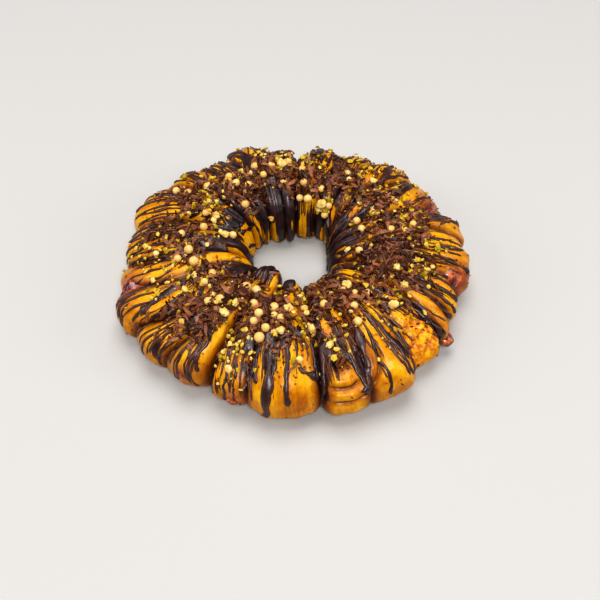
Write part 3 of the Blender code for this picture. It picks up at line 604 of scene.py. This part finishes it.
thinness = shell.verts.layers.float.new("thin")
coat_points = []
for angle, column_rises, column_depths in zip(coat_angles, rises, depths):
    coat_points.append([])
    for around, rise, depth in zip(coat_rows, column_rises, column_depths):
        at, out, _ = spot(angle, around)
        point = shell.verts.new(at + out * rise)
        point[thinness] = max(0.0, 1.0 - COAT_THINNING * depth)
        coat_points[-1].append(point)
deepest = np.maximum(depths, np.roll(depths, -1, 0))
for column, here in enumerate(coat_points):
    beyond = coat_points[(column + 1) % COAT_COLUMNS]
    for row in range(COAT_ROWS - 1):
        if max(deepest[column, row], deepest[column, row + 1]) > 0.0:
            shell.faces.new((here[row], beyond[row], beyond[row + 1], here[row + 1]))
bmesh.ops.delete(shell, geom=[vert for vert in shell.verts if not vert.link_faces], context="VERTS")
coat_mesh = bpy.data.meshes.new("chocolate_coat")
shell.to_mesh(coat_mesh)
shell.free()
coat = bpy.data.objects.new("chocolate_coat", coat_mesh)
bpy.context.scene.collection.objects.link(coat)
bpy.context.view_layer.objects.active = coat
wall = coat.modifiers.new("thickness", "SOLIDIFY")
wall.thickness = COAT_BODY
wall.offset = -1.0
bpy.ops.object.modifier_apply(modifier=wall.name)
coat.data.shade_smooth()

chocolate_finish, nodes, links, shader, place = new_finish("dark chocolate")
dark = add_ramp(add_noise(120.0), DARK_CHOCOLATE)
thin = add_math("MULTIPLY", add_attribute("thin"), add_fade(add_noise(300.0), 0.4, 0.6, 0.2, 1.0))
links.new(add_mix(thin, dark, THIN_CHOCOLATE), shader.inputs["Base Color"])
shader.inputs["Roughness"].default_value = 0.36
shader.inputs["Specular IOR Level"].default_value = 0.65
links.new(add_bump(add_noise(380.0, 2.0), 0.0004, 0.6), shader.inputs["Normal"])
coat.data.materials.append(chocolate_finish)
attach(coat, "root")
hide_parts("pastry")


# Drizzled chocolate: dark chocolate trailed to and fro across the twists, so that it lies in raised lines
# down the outer side, with rounded drops where the thicker ones stopped. Each line is a flat-bottomed bead
# whose width and path wander.
BEAD_STEP, BEAD_SUNK, LEAST_STEPS, STEP_SPARE = 1.3 * MM, 0.35 * MM, 6, 1.1
BEAD_TALL_BASE, BEAD_TALL_SHARE, BEAD_TALLEST = 0.3, 0.25, 1.3 * MM  # mm, and mm for each mm of width
BEAD_SECTION = ((-1.0, 0.0), (-0.82, 0.6), (-0.4, 1.0), (0.4, 1.0), (0.82, 0.6), (1.0, 0.0))
BEAD_THINNESS, FINE_THINNESS = (1.0, 0.45, 0.1, 0.1, 0.45, 1.0), 0.4
BEAD_WANDERS = ((0.9, 2.6, 0.0), (0.4, 8.0, 9.0))  # degrees, bends along a line, layer of the noise
BEAD_PATH_SPACING, BEAD_WIDTH_SPACING = 3.7, 1.3
BEAD_USUAL, BEAD_UNEVEN, BEAD_LEAST = 0.95, 0.9, 0.35  # shares of a line's width
BEAD_SWELLS, BEAD_LAYER = 5.0, 4.0  # swells along a line, layer of the noise
DROP_START, DROP_LENGTH, DROP_SWELL = 0.8, 0.25, 0.35  # the drop at the foot of a thick line
TOP_TAPER, FOOT_TAPER, BLUNT_END = 6.0, 14.0, 0.02
THICK_LINES = (  # angle and around of the top, angle and around of the foot, width in mm
    (199, 86, 208, 34, 4.4), (193, 72, 198, 40, 1.8), (190, 80, 193, 45, 1.5), (202, 70, 211, 18, 2.2),
    (205, 74, 213, 28, 2.2), (208, 68, 214, 24, 1.7), (197, 48, 206, 4, 2.4), (194, 46, 199, 16, 1.9),
    (200, 40, 207, -8, 1.7), (203, 32, 209, 2, 2.2), (236, 62, 239.5, 18, 2.4), (233, 50, 237, 2, 1.8),
    (246, 62, 250, 20, 2.0), (249, 68, 252.5, 28, 2.2), (252, 30, 253, -12, 1.7),
    (248.5, 24, 250, -10, 1.8), (256.5, 64, 259, 30, 3.4), (257, 46, 255, 13, 4.4),
    (262, 70, 262.5, -11, 5.2), (264.5, 66, 262.8, 30, 3.6), (267.5, 68, 268, 12, 3.6),
    (270.5, 72, 272, 44, 2.0), (271, 49, 277, 38, 4.5), (280, 80, 278, 2, 4.6), (276, 70, 278, 30, 3.4),
    (283.5, 74, 288.5, 46, 2.6), (287.5, 66, 290.5, 20, 2.8), (294, 80, 291.5, 19, 5.0),
    (290, 25, 292, 17, 6.0), (297, 70, 297.6, 2, 3.2), (300, 74, 304, 16, 2.0),
    (302.2, 76, 305.8, 10, 2.4), (304.5, 76, 307.5, 6, 2.6), (306.5, 68, 308, 32, 3.6),
    (311, 88, 317, 64, 3.2), (317.5, 92, 321.5, 30, 3.6), (322, 66, 322.8, -11, 4.2),
    (326, 68, 331, 2, 2.8), (329, 68, 334, 6, 2.6), (331.5, 66, 337.5, 12, 3.2),
    (334.5, 64, 340.5, 22, 1.8), (337, 60, 341.5, 34, 1.6), (347, 54, 350.5, 10, 3.2),
    (351, 62, 356, 26, 2.4), (349, 64, 353, 30, 1.6), (4.5, 76, 10, 20, 2.4), (6.5, 74, 11, 30, 1.8),
    (9, 62, 12.5, 30, 1.7), (24, 78, 32, 38, 4.2), (19, 62, 26, 20, 1.9), (28, 72, 33, 46, 1.7),
    (37.5, 88, 38, 24, 2.8), (41, 80, 45, 36, 2.0), (44, 78, 47, 42, 1.7), (49, 90, 50, 58, 2.2),
    (53, 90, 55, 32, 2.4), (56, 92, 59, 40, 2.2), (59, 86, 61, 46, 1.8), (66.5, 84, 67.5, 28, 3.6),
    (69.5, 82, 71, 40, 2.0), (73, 90, 74, 44, 2.4), (77, 72, 78, 36, 4.4), (80, 86, 81, 44, 2.0),
    (84, 84, 85, 44, 1.8), (91, 86, 92, 40, 2.0), (94, 84, 95, 44, 1.8), (97, 76, 99, 38, 3.6),
    (101, 86, 101, 40, 2.2), (106, 88, 105, 44, 2.2), (108, 74, 109, 38, 3.0), (114, 90, 120, 22, 4.6),
    (117, 84, 121, 36, 3.2), (126, 92, 123, 42, 4.6), (130, 90, 127, 40, 2.2), (133, 86, 130, 32, 2.4),
    (135, 92, 132, 36, 2.0), (140, 92, 136, 38, 2.4), (142, 70, 140, 34, 2.6), (145, 92, 144, 30, 2.0),
    (148, 90, 146, 24, 2.2), (153, 88, 151, 44, 2.0), (156, 92, 153, 48, 1.8), (159, 88, 158, 36, 2.2),
    (162, 84, 163, 14, 3.2), (165, 88, 166, 26, 1.8), (169, 88, 169, 20, 2.0), (174, 88, 175, 16, 2.2),
    (177, 90, 178, 8, 2.6), (180, 88, 181, 6, 2.0), (183, 84, 184, 2, 2.0), (186, 88, 187, 16, 2.2),
    (149, 154, 168, 145, 3.4), (153, 174, 167, 165, 3.0), (151, 141, 169, 140, 3.0),
    (311, 94, 318, 76, 3.4), (141, 182, 147, 146, 2.2), (149.5, 160, 150, 182, 2.2),
)
THIN_SEED, THIN_FEET = 5, 24
THIN_PLACES, THIN_TOPS, THIN_LEANS, THIN_WIDTHS = (0.1, 0.9), (70, 100), (0.6, 1.2), (1.2, 2.3)
# stretches of the ring with thin lines: first and last angle, how many, lean in degrees, the lowest around
THIN_STRETCHES = (
    (0, 14, 5, 6, 16), (16, 60, 12, 6, 32), (60, 108, 12, 1, 36), (108, 150, 12, -5, 30),
    (150, 189, 13, 0, 4), (189, 214, 7, 8, -4), (214, 235, 15, 6, -12), (244, 256, 6, 3, 6),
    (256, 276, 6, 1, 48), (282, 292, 3, 3, 48), (294, 308, 8, 4, 20), (320, 342, 6, 5, 10),
    (342, 360, 7, 5, 20),
)
lines = [(*row, True) for row in THICK_LINES]
draw = random.Random(THIN_SEED)
for first, last, count, lean, lowest in THIN_STRETCHES:
    for number in range(count):
        angle = first + (last - first) * (number + draw.uniform(*THIN_PLACES)) / count
        top = draw.uniform(*THIN_TOPS)
        foot_angle = angle + lean * draw.uniform(*THIN_LEANS)
        low = draw.uniform(lowest, lowest + THIN_FEET)
        lines.append((angle, top, foot_angle, low, draw.uniform(*THIN_WIDTHS), False))


def bead_spot(number, line, share):
    """The seat of a bead, and the way out of the crust there, at a share of the way down its line."""
    top_angle, top, foot_angle, low, _, _ = line
    wander = 0.0
    for degrees, bends, layer in BEAD_WANDERS:
        wander += degrees * noise.noise(Vector((share * bends, number * BEAD_PATH_SPACING, layer)))
    return spot(top_angle + (foot_angle - top_angle) * share + wander, top + (low - top) * share)[:2]


def bead_size(number, line, share):
    """The half width and the height of a bead at a share of the way down its line."""
    *_, width, full = line
    swell = noise.noise(Vector((share * BEAD_SWELLS, number * BEAD_WIDTH_SPACING, BEAD_LAYER)))
    swell = BEAD_USUAL + BEAD_UNEVEN * swell
    if full and share > DROP_START:
        swell += DROP_SWELL * math.sin(math.pi * (share - DROP_START) / DROP_LENGTH)
    taper = math.sqrt(min(1.0, TOP_TAPER * share + BLUNT_END, FOOT_TAPER * (1.0 - share) + BLUNT_END))
    tall = min((BEAD_TALL_SHARE * width + BEAD_TALL_BASE) * MM, BEAD_TALLEST)
    return width * MM / 2 * max(swell, BEAD_LEAST) * taper, tall * min(1.0, 0.5 + 0.5 * swell) * taper


def joined(name, shapes, faces):
    """One object from many shapes, given as arrays of points, that all have the same faces."""
    count = len(shapes[0])
    mesh = bpy.data.meshes.new(name)
    offsets = np.arange(len(shapes)) * count
    all_faces = [tuple(int(corner + offset) for corner in face) for offset in offsets for face in faces]
    points = np.clip(np.concatenate(shapes), cad_low, cad_high)
    mesh.from_pydata(points.tolist(), [], all_faces)
    mesh.update()
    piece = bpy.data.objects.new(name, mesh)
    bpy.context.scene.collection.objects.link(piece)
    return piece


def recalculate(piece):
    """Turns every face of a piece outwards."""
    shell = bmesh.new()
    shell.from_mesh(piece.data)
    bmesh.ops.recalc_face_normals(shell, faces=shell.faces)
    shell.to_mesh(piece.data)
    shell.free()


bead_points, bead_faces, bead_thinness = [], [], []
ring = len(BEAD_SECTION)
for number, line in enumerate(lines):
    top_angle, top, foot_angle, low, _, full = line
    reach = np.linalg.norm(spot(top_angle, top)[0] - spot(foot_angle, low)[0])
    steps = max(LEAST_STEPS, int(STEP_SPARE * reach / BEAD_STEP))
    first_point = len(bead_points)
    last_point = first_point + steps * ring
    seats = [bead_spot(number, line, step / steps) for step in range(steps + 1)]
    for step, (at, out) in enumerate(seats):
        side = np.cross(out, seats[min(step + 1, steps)][0] - seats[max(step - 1, 0)][0])
        side /= np.linalg.norm(side) + NOT_ZERO
        half, tall = bead_size(number, line, step / steps)
        for (x, z), thinness in zip(BEAD_SECTION, BEAD_THINNESS):
            bead_points.append(at + side * half * x + out * (tall * z - BEAD_SUNK * (1.0 - z)))
            bead_thinness.append(thinness if full else FINE_THINNESS + (1.0 - FINE_THINNESS) * thinness)
    for a in range(first_point, last_point, ring):
        b = a + ring
        bead_faces += [(a + k, a + (k + 1) % ring, b + (k + 1) % ring, b + k) for k in range(ring)]
    bead_faces += [tuple(range(end, end + ring)) for end in (first_point, last_point)]
drizzle = joined("chocolate_drizzle", [np.array(bead_points)], bead_faces)
recalculate(drizzle)
mark(drizzle, "thin", bead_thinness)
drizzle.data.shade_smooth()
drizzle.data.materials.append(chocolate_finish)
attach(drizzle, "root")
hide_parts("pastry")


# Chocolate shavings: thin curls and splinters of milk-brown chocolate scraped from a block and heaped along
# the crest, where they lie at all angles on the wet drizzle, with crumbs of them down the outer side.
FLAKE_SEED, FLAKES, LONG_SHARE, CRUMBS = 23, 5000, 0.3, 600
FLAKE_BARE, FLAKE_SMOOTH, FLAKES_OFF = 0.15, 1.0, 0.9  # few lie on bare crust or on smooth, thick chocolate
LONG_FLAKE, SHORT_FLAKE = ((5.5, 11.5), (1.6, 3.4)), ((1.6, 5.0), (0.7, 2.2))  # lengths, widths in mm
FLAKE_THICKNESS, FLAKE_LIFT, PILE_LIFT, PILE_SPREAD = (0.35, 0.8), 0.3, 1.1, 20.0  # mm, the last in degrees
CRUMB_SIZES, CRUMB_PLACES = ((0.8, 2.4), (0.5, 1.3), (0.3, 0.7)), (56, 26)  # mm; middle and spread of around
FLAKE_STATIONS = (-1.0, -0.5, 0.0, 0.5, 1.0)
FLAKE_CORNERS = ((-1, 0), (1, 0), (1, 1), (-1, 1))
FLAKE_HEAPS = (  # first and last angle, middle and spread of around, share of the flakes
    (0, 22, 88, 15, 7), (22, 60, 98, 12, 8), (60, 104, 104, 15, 11), (104, 116, 92, 9, 3),
    (116, 145, 108, 13, 8), (145, 193, 84, 17, 12), (193, 245, 94, 12, 12), (208, 236, 62, 11, 6),
    (240, 275, 92, 17, 12), (275, 308, 100, 15, 10), (308, 330, 88, 13, 5), (326, 360, 88, 17, 12),
)
HOLLOW_FLAKES = (  # the strips in the hollow of the roll: angle, around, length, width and turn in degrees
    (284.0, 54, 7.5, 2.4, 150), (285.6, 52, 8.0, 2.6, 145), (284.6, 49, 5.5, 2.0, 120),
)
FLAKE_SIDES = len(FLAKE_CORNERS)
FLAKE_POINTS = len(FLAKE_STATIONS) * FLAKE_SIDES
SHAVED = ((0.0, (0.034, 0.010, 0.005)), (0.55, (0.135, 0.045, 0.016)), (1.0, (0.31, 0.125, 0.055)))
flake_faces = [tuple(range(FLAKE_SIDES)), tuple(range(FLAKE_POINTS - FLAKE_SIDES, FLAKE_POINTS))[::-1]]
for a in range(0, FLAKE_POINTS - FLAKE_SIDES, FLAKE_SIDES):
    b = a + FLAKE_SIDES
    for k in range(FLAKE_SIDES):
        beyond = (k + 1) % FLAKE_SIDES
        flake_faces.append((a + k, b + k, b + beyond, a + beyond))


def strip(seat, spin, tilt, roll, lift, size, curl, bow, twist, narrow):
    """The points of a bent, tapering strip that lies at a seat on the crust."""
    at, out, on = seat
    length, width, thickness = size
    forward = on * math.cos(spin) + np.cross(out, on) * math.sin(spin)
    side = np.cross(forward, out)
    forward = forward * math.cos(tilt) + out * math.sin(tilt)
    up = np.cross(side, forward)
    points = []
    for station in FLAKE_STATIONS:
        turn = roll + twist * station
        across = side * math.cos(turn) + up * math.sin(turn)
        above = np.cross(across, forward)
        half = width / 2 * (1.0 - (1.0 - narrow) * abs(station) ** 1.5)
        centre = at + out * lift + forward * station * length / 2 + up * bow * (1.0 - station * station)
        for x, z in FLAKE_CORNERS:
            points.append(centre + across * x * half + above * (curl * x * x * 0.5 + z * thickness))
    return np.array(points)


draw = random.Random(FLAKE_SEED)
flakes, flake_shades = [], []
shares = [row[4] for row in FLAKE_HEAPS]
for _ in range(FLAKES):
    first, last, middle, spread, _ = draw.choices(FLAKE_HEAPS, shares)[0]
    angle, around = draw.uniform(first, last), draw.gauss(middle, spread)
    slippery = within(SLITS, angle, around) > FLAKE_BARE or within(POOLS, angle, around) > FLAKE_SMOOTH
    if slippery and draw.random() < FLAKES_OFF:
        continue
    lengths, widths = LONG_FLAKE if draw.random() < LONG_SHARE else SHORT_FLAKE
    length = draw.uniform(*lengths) * MM
    width = draw.uniform(*widths) * MM
    size = (length, width, draw.uniform(*FLAKE_THICKNESS) * MM)
    piled = math.exp(-(((around - middle) / PILE_SPREAD) ** 2))
    flakes.append(strip(
        spot(angle, around), spin=draw.uniform(0, math.tau),
        tilt=draw.gauss(0, 0.35), roll=draw.gauss(0, 0.4),
        lift=(FLAKE_LIFT + abs(draw.gauss(0, PILE_LIFT)) * piled) * MM, size=size,
        curl=draw.uniform(0.1, 0.75) * width, bow=draw.gauss(0.0, 0.13) * length,
        twist=draw.gauss(0, 0.4), narrow=draw.uniform(0.35, 0.95),
    ))
    flake_shades += [draw.random()] * FLAKE_POINTS
for _ in range(CRUMBS):
    size = tuple(draw.uniform(*sizes) * MM for sizes in CRUMB_SIZES)
    flakes.append(strip(
        spot(draw.uniform(0, 360), draw.gauss(*CRUMB_PLACES)), spin=draw.uniform(0, math.tau),
        tilt=draw.gauss(0, 0.3), roll=draw.gauss(0, 0.3), lift=FLAKE_LIFT * MM, size=size,
        curl=0.1 * MM, bow=0.0, twist=0.0, narrow=0.7,
    ))
    flake_shades += [draw.random()] * FLAKE_POINTS
for angle, around, length, width, spin in HOLLOW_FLAKES:
    size = (length * MM, width * MM, 0.6 * MM)
    flakes.append(strip(
        spot(angle, around), spin=math.radians(spin), tilt=0.1, roll=0.5, lift=1.6 * MM, size=size,
        curl=0.3 * MM, bow=0.2 * MM, twist=0.3, narrow=0.8,
    ))
    flake_shades += [0.7] * FLAKE_POINTS
shavings = joined("chocolate_shavings", flakes, flake_faces)
recalculate(shavings)
mark(shavings, "shade", flake_shades)
shavings_finish, nodes, links, shader, place = new_finish("chocolate shavings")
brown = add_ramp(add_attribute("shade"), SHAVED)
grain = add_ramp(add_noise(900.0), ((0.35, (0.7, 0.7, 0.7)), (0.65, (1.15, 1.1, 1.05))))
links.new(add_mix(1.0, brown, grain, "MULTIPLY"), shader.inputs["Base Color"])
shader.inputs["Roughness"].default_value = 0.42
shader.inputs["Specular IOR Level"].default_value = 0.4
links.new(add_bump(add_noise(1500.0, 2.0), 0.0002, 0.6), shader.inputs["Normal"])
shavings.data.materials.append(shavings_finish)
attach(shavings, "root")
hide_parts("pastry")


# Chopped pistachio: green-gold crumbs of shelled nut, chopped with a knife and strewn over everything while
# the chocolate was wet, thicker in drifts on the crest and the outer side.
NUT_SEED, NUT_SHARE = 31, 0.6
NUT_DRIFTS = (  # angle, around, spread of the angle, spread of around, how many
    (249, 50, 3.5, 12, 48), (252, 62, 4, 8, 20), (304, 62, 3, 6, 12), (284, 66, 4, 7, 14),
    (203, 82, 5, 7, 40), (188, 70, 3, 16, 46), (156, 104, 5, 5, 36), (338, 58, 4, 6, 26),
    (227, 88, 5, 6, 36), (275, 80, 3, 8, 26), (5, 78, 6, 9, 44), (138, 98, 4, 6, 20), (131, 98, 3, 5, 18),
    (96, 88, 8, 5, 44), (165, 96, 8, 8, 44), (186, 40, 5, 14, 34), (42, 90, 6, 8, 34), (20, 90, 6, 8, 26),
    (350, 60, 5, 8, 26), (316, 74, 4, 6, 24), (60, 140, 5, 6, 24), (95, 78, 6, 5, 20),
    (150, 90, 5, 8, 24), (214, 100, 6, 8, 30), (233, 96, 6, 8, 30), (272, 112, 6, 5, 20),
    (298, 100, 8, 8, 12), (122, 106, 4, 5, 20), (200, 60, 4, 10, 18), (175, 110, 5, 8, 24),
    (10, 92, 6, 6, 16),
)
NUTS_STREWN, NUTS_STREWN_PLACES = 300, (84, 24)  # how many, and the middle and spread of their around
NUT_SIZES = (1.5, 6.0, 2.7)  # smallest, largest and most usual, in mm
NUT_CORNERS, NUT_SIDES = (0.62, 1.1), ((0.8, 1.4), (0.7, 1.1), (0.5, 0.85))  # shares of a bit's size
NUT_SEAT, NUT_PILE = 0.25, 0.9  # a share of a bit's size, and mm that some lie higher
PISTACHIO = (
    (0.0, (0.31, 0.225, 0.008)), (0.35, (0.51, 0.35, 0.018)),
    (0.7, (0.65, 0.45, 0.06)), (1.0, (0.73, 0.55, 0.21)),
)


def taken_ball():
    """The points and faces of the ball just added, in an order that is the same each run; the ball goes."""
    ball = bpy.context.object
    points = np.array([vertex.co[:] for vertex in ball.data.vertices])
    faces = [tuple(face.vertices) for face in ball.data.polygons]
    turns = [face.index(min(face)) for face in faces]
    bpy.data.objects.remove(ball)
    return points, sorted(face[turn:] + face[:turn] for face, turn in zip(faces, turns))


def chopped(draw, seat, size, rise):
    """One chopped bit: a ball with its corners knocked about, squashed and turned."""
    at, out, on = seat
    shape = nut_points * np.array([[draw.uniform(*NUT_CORNERS)] for _ in nut_points])
    shape = shape * np.array([draw.uniform(*sides) for sides in NUT_SIDES]) * size
    turn = draw.uniform(0, math.tau)
    axis = Vector((draw.gauss(0, 0.3), draw.gauss(0, 0.3), 1.0))
    shape = shape @ np.array(Matrix.Rotation(turn, 3, axis)).T
    return at + shape @ np.array([np.cross(on, out), on, out]) + out * rise


bpy.ops.object.select_all(action="DESELECT")
bpy.ops.mesh.primitive_ico_sphere_add(subdivisions=1, radius=0.5)
nut_points, nut_faces = taken_ball()
draw = random.Random(NUT_SEED)
nut_spots = [
    (draw.gauss(angle, wide), draw.gauss(around, tall))
    for angle, around, wide, tall, count in NUT_DRIFTS
    for _ in range(round(NUT_SHARE * count))
]
nut_spots += [(draw.uniform(0, 360), draw.gauss(*NUTS_STREWN_PLACES)) for _ in range(NUTS_STREWN)]
nut_shapes, nut_shades = [], []
for angle, around in nut_spots:
    if within(POOLS, angle, around) > FLAKE_SMOOTH:
        continue
    size = draw.triangular(*NUT_SIZES) * MM
    nut_shades += [draw.random()] * len(nut_points)
    rise = NUT_SEAT * size + abs(draw.gauss(0, NUT_PILE)) * MM
    nut_shapes.append(chopped(draw, spot(angle, around), size, rise))
nuts = joined("chopped_pistachio", nut_shapes, nut_faces)
mark(nuts, "shade", nut_shades)
nuts_finish, nodes, links, shader, place = new_finish("pistachio")
green = add_ramp(add_attribute("shade"), PISTACHIO)
grain = add_ramp(add_noise(700.0), ((0.35, (0.72, 0.7, 0.55)), (0.6, (1.0, 1.0, 1.0))))
links.new(add_mix(1.0, green, grain, "MULTIPLY"), shader.inputs["Base Color"])
shader.inputs["Roughness"].default_value = 0.6
shader.inputs["Specular IOR Level"].default_value = 0.3
links.new(add_bump(add_noise(1300.0), 0.0002, 0.5), shader.inputs["Normal"])
nuts.data.materials.append(nuts_finish)
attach(nuts, "root")
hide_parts("pastry")


# Nut clumps: larger, paler pieces of chopped almond and cake crumb, lumpy and matt, dropped on by hand and
# stuck in the chocolate.
CLUMPS = (  # angle, around, size in mm
    (313.5, 69, 8.0), (324.5, 72, 7.5), (234, 77, 8.0), (331.5, 81, 7.0), (99, 87, 9.5), (95, 84, 7.5),
    (120, 153, 5.5), (355.5, 83, 7.0), (302, 108, 8.5), (298, 107, 5.0), (149, 88, 6.5), (147.5, 83, 7.0),
    (158.5, 101, 5.5), (58.5, 139, 9.0), (60.5, 146, 7.0), (53.5, 145, 5.5), (267, 96, 8.5),
    (265, 77, 7.0), (262.5, 76, 5.0), (226.5, 114, 6.0), (106.5, 93, 6.5), (179.5, 122, 7.5),
    (179, 118, 5.5), (167, 112, 7.5), (169.5, 111, 5.5), (186, 58, 6.0), (227, 103, 5.0),
    (274.5, 99, 6.0), (275, 95, 5.5), (250, 36, 7.0), (271.5, 55, 6.0), (219, 55, 6.0), (39, 86, 6.0),
    (134, 112, 5.5), (141, 106, 6.0), (201.5, 88, 7.5), (237, 88, 7.0), (227, 86, 6.0), (282.5, 65, 6.0),
)
CLUMP_SEED, CLUMP_SEAT = 8, 0.3
CLUMP_SIZE, CLUMP_LUMP, CLUMP_LUMPS, CLUMP_SPACING = 0.85, 0.36, 3.4, 5.0  # as lumpy() takes them
CLUMP_SIDES = ((0.8, 1.15), (0.75, 1.0), (0.6, 0.8))
PALE_NUT = ((0.35, (0.50, 0.29, 0.06)), (0.55, (0.67, 0.47, 0.16)), (0.7, (0.75, 0.59, 0.29)))


def lumpy(points, number, base, lump, often, spacing):
    """A factor for each point of a ball, which makes it uneven, in another way for each number."""
    shift = Vector((number * spacing, 0, 0))
    return np.array([base + lump * noise.noise(Vector(point) * often + shift) for point in points])[:, None]


bpy.ops.object.select_all(action="DESELECT")
bpy.ops.mesh.primitive_ico_sphere_add(subdivisions=3, radius=0.5)
clump_points, clump_faces = taken_ball()
draw = random.Random(CLUMP_SEED)
clump_shapes = []
for number, (angle, around, size) in enumerate(CLUMPS):
    at, out, on = spot(angle, around)
    rough = lumpy(clump_points, number, CLUMP_SIZE, CLUMP_LUMP, CLUMP_LUMPS, CLUMP_SPACING)
    stretch = np.array([draw.uniform(*sides) for sides in CLUMP_SIDES])
    shape = clump_points * rough * stretch * size * MM
    turn = draw.uniform(0, math.tau)
    forward = on * math.cos(turn) + np.cross(out, on) * math.sin(turn)
    shape = shape @ np.array([np.cross(forward, out), forward, out])
    clump_shapes.append(at + shape + out * CLUMP_SEAT * size * MM)
clumps = joined("nut_clumps", clump_shapes, clump_faces)
clumps.data.shade_smooth()
clumps_finish, nodes, links, shader, place = new_finish("pale nuts")
links.new(add_ramp(add_noise(260.0), PALE_NUT), shader.inputs["Base Color"])
shader.inputs["Roughness"].default_value = 0.65
shader.inputs["Specular IOR Level"].default_value = 0.3
links.new(add_bump(add_noise(800.0), 0.0005, 0.7), shader.inputs["Normal"])
clumps.data.materials.append(clumps_finish)
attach(clumps, "root")
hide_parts("pastry")


# Crisp pearls: balls of puffed grain, rolled in sugar until they have a smooth, pale golden shell. They are
# dropped on in loose groups and held by the chocolate.
PEARLS = (  # angle, around and size in mm
    (259, 77, 5.8), (17.5, 103, 5.8), (80.5, 117, 5.8), (296, 75, 5.8), (261, 90, 5.0), (298.5, 88, 5.4),
    (84, 96, 5.6), (205, 99, 5.6), (143, 128, 5.8), (129, 108, 5.6), (67.5, 119, 5.6), (167.5, 102, 5.2),
    (84, 135, 5.4), (285, 100, 5.8), (310.5, 90, 5.8), (52.5, 96, 5.4), (54.5, 92, 5.0), (264.5, 88, 5.2),
    (190, 78, 5.4), (18, 122, 5.8), (116, 91, 5.6), (177.5, 102, 5.8), (5, 119, 5.8), (157, 78, 5.4),
    (258, 69, 7.0), (193.5, 90, 6.8), (99.5, 110, 5.4), (134, 86, 5.4), (134.5, 99, 6.0), (181, 83, 5.4),
    (4, 75, 5.4), (248.5, 95, 6.0), (276.5, 80, 6.6), (335, 118, 5.4), (206.5, 90, 5.4), (260, 97, 6.4),
    (186.5, 87, 6.6), (252, 80, 5.6), (222.5, 86, 6.2), (157, 66, 5.6), (149.5, 51, 5.4),
    (178.5, 130, 5.6), (212, 87, 5.4), (217.5, 79, 5.4), (54, 149, 5.4), (54, 138, 5.2), (357, 95, 5.0),
    (253, 88, 6.4), (240.5, 111, 6.6), (115, 105, 5.2), (119.5, 94, 4.6), (74, 136, 6.4), (4, 85, 5.0),
    (226.5, 109, 8.0), (302.5, 98, 4.8), (98, 89, 6.0),
)
PEARL_SEAT, PEARL_DENT, PEARL_DENTS, PEARL_SPACING, PEARL_TURN = 0.36, 0.05, 2.6, 7.0, 1.7
PEARL_SHELL = ((0.3, (0.58, 0.33, 0.10)), (0.5, (0.68, 0.44, 0.155)), (0.7, (0.76, 0.54, 0.25)))
bpy.ops.object.select_all(action="DESELECT")
bpy.ops.mesh.primitive_uv_sphere_add(segments=20, ring_count=12, radius=0.5)
pearl_points, pearl_faces = taken_ball()
pearl_shapes = []
for number, (angle, around, size) in enumerate(PEARLS):
    at, out, _ = spot(angle, around)
    dents = lumpy(pearl_points, number, 1.0, PEARL_DENT, PEARL_DENTS, PEARL_SPACING)
    turn = Matrix.Rotation(number * PEARL_TURN, 3, Vector((1, number % 3, 2)))
    shape = pearl_points @ np.array(turn).T * dents * size * MM
    pearl_shapes.append(at + shape + out * size * PEARL_SEAT * MM)
pearls = joined("sugar_pearls", pearl_shapes, pearl_faces)
pearls.data.shade_smooth()
pearls_finish, nodes, links, shader, place = new_finish("pearl sugar shell")
links.new(add_ramp(add_noise(210.0), PEARL_SHELL), shader.inputs["Base Color"])
shader.inputs["Roughness"].default_value = 0.5
shader.inputs["Specular IOR Level"].default_value = 0.35
shader.inputs["Subsurface Weight"].default_value = 0.1
shader.inputs["Subsurface Scale"].default_value = 0.002
links.new(add_bump(add_noise(1100.0), 0.0002, 0.5), shader.inputs["Normal"])
pearls.data.materials.append(pearls_finish)
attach(pearls, "root")
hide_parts("pastry")
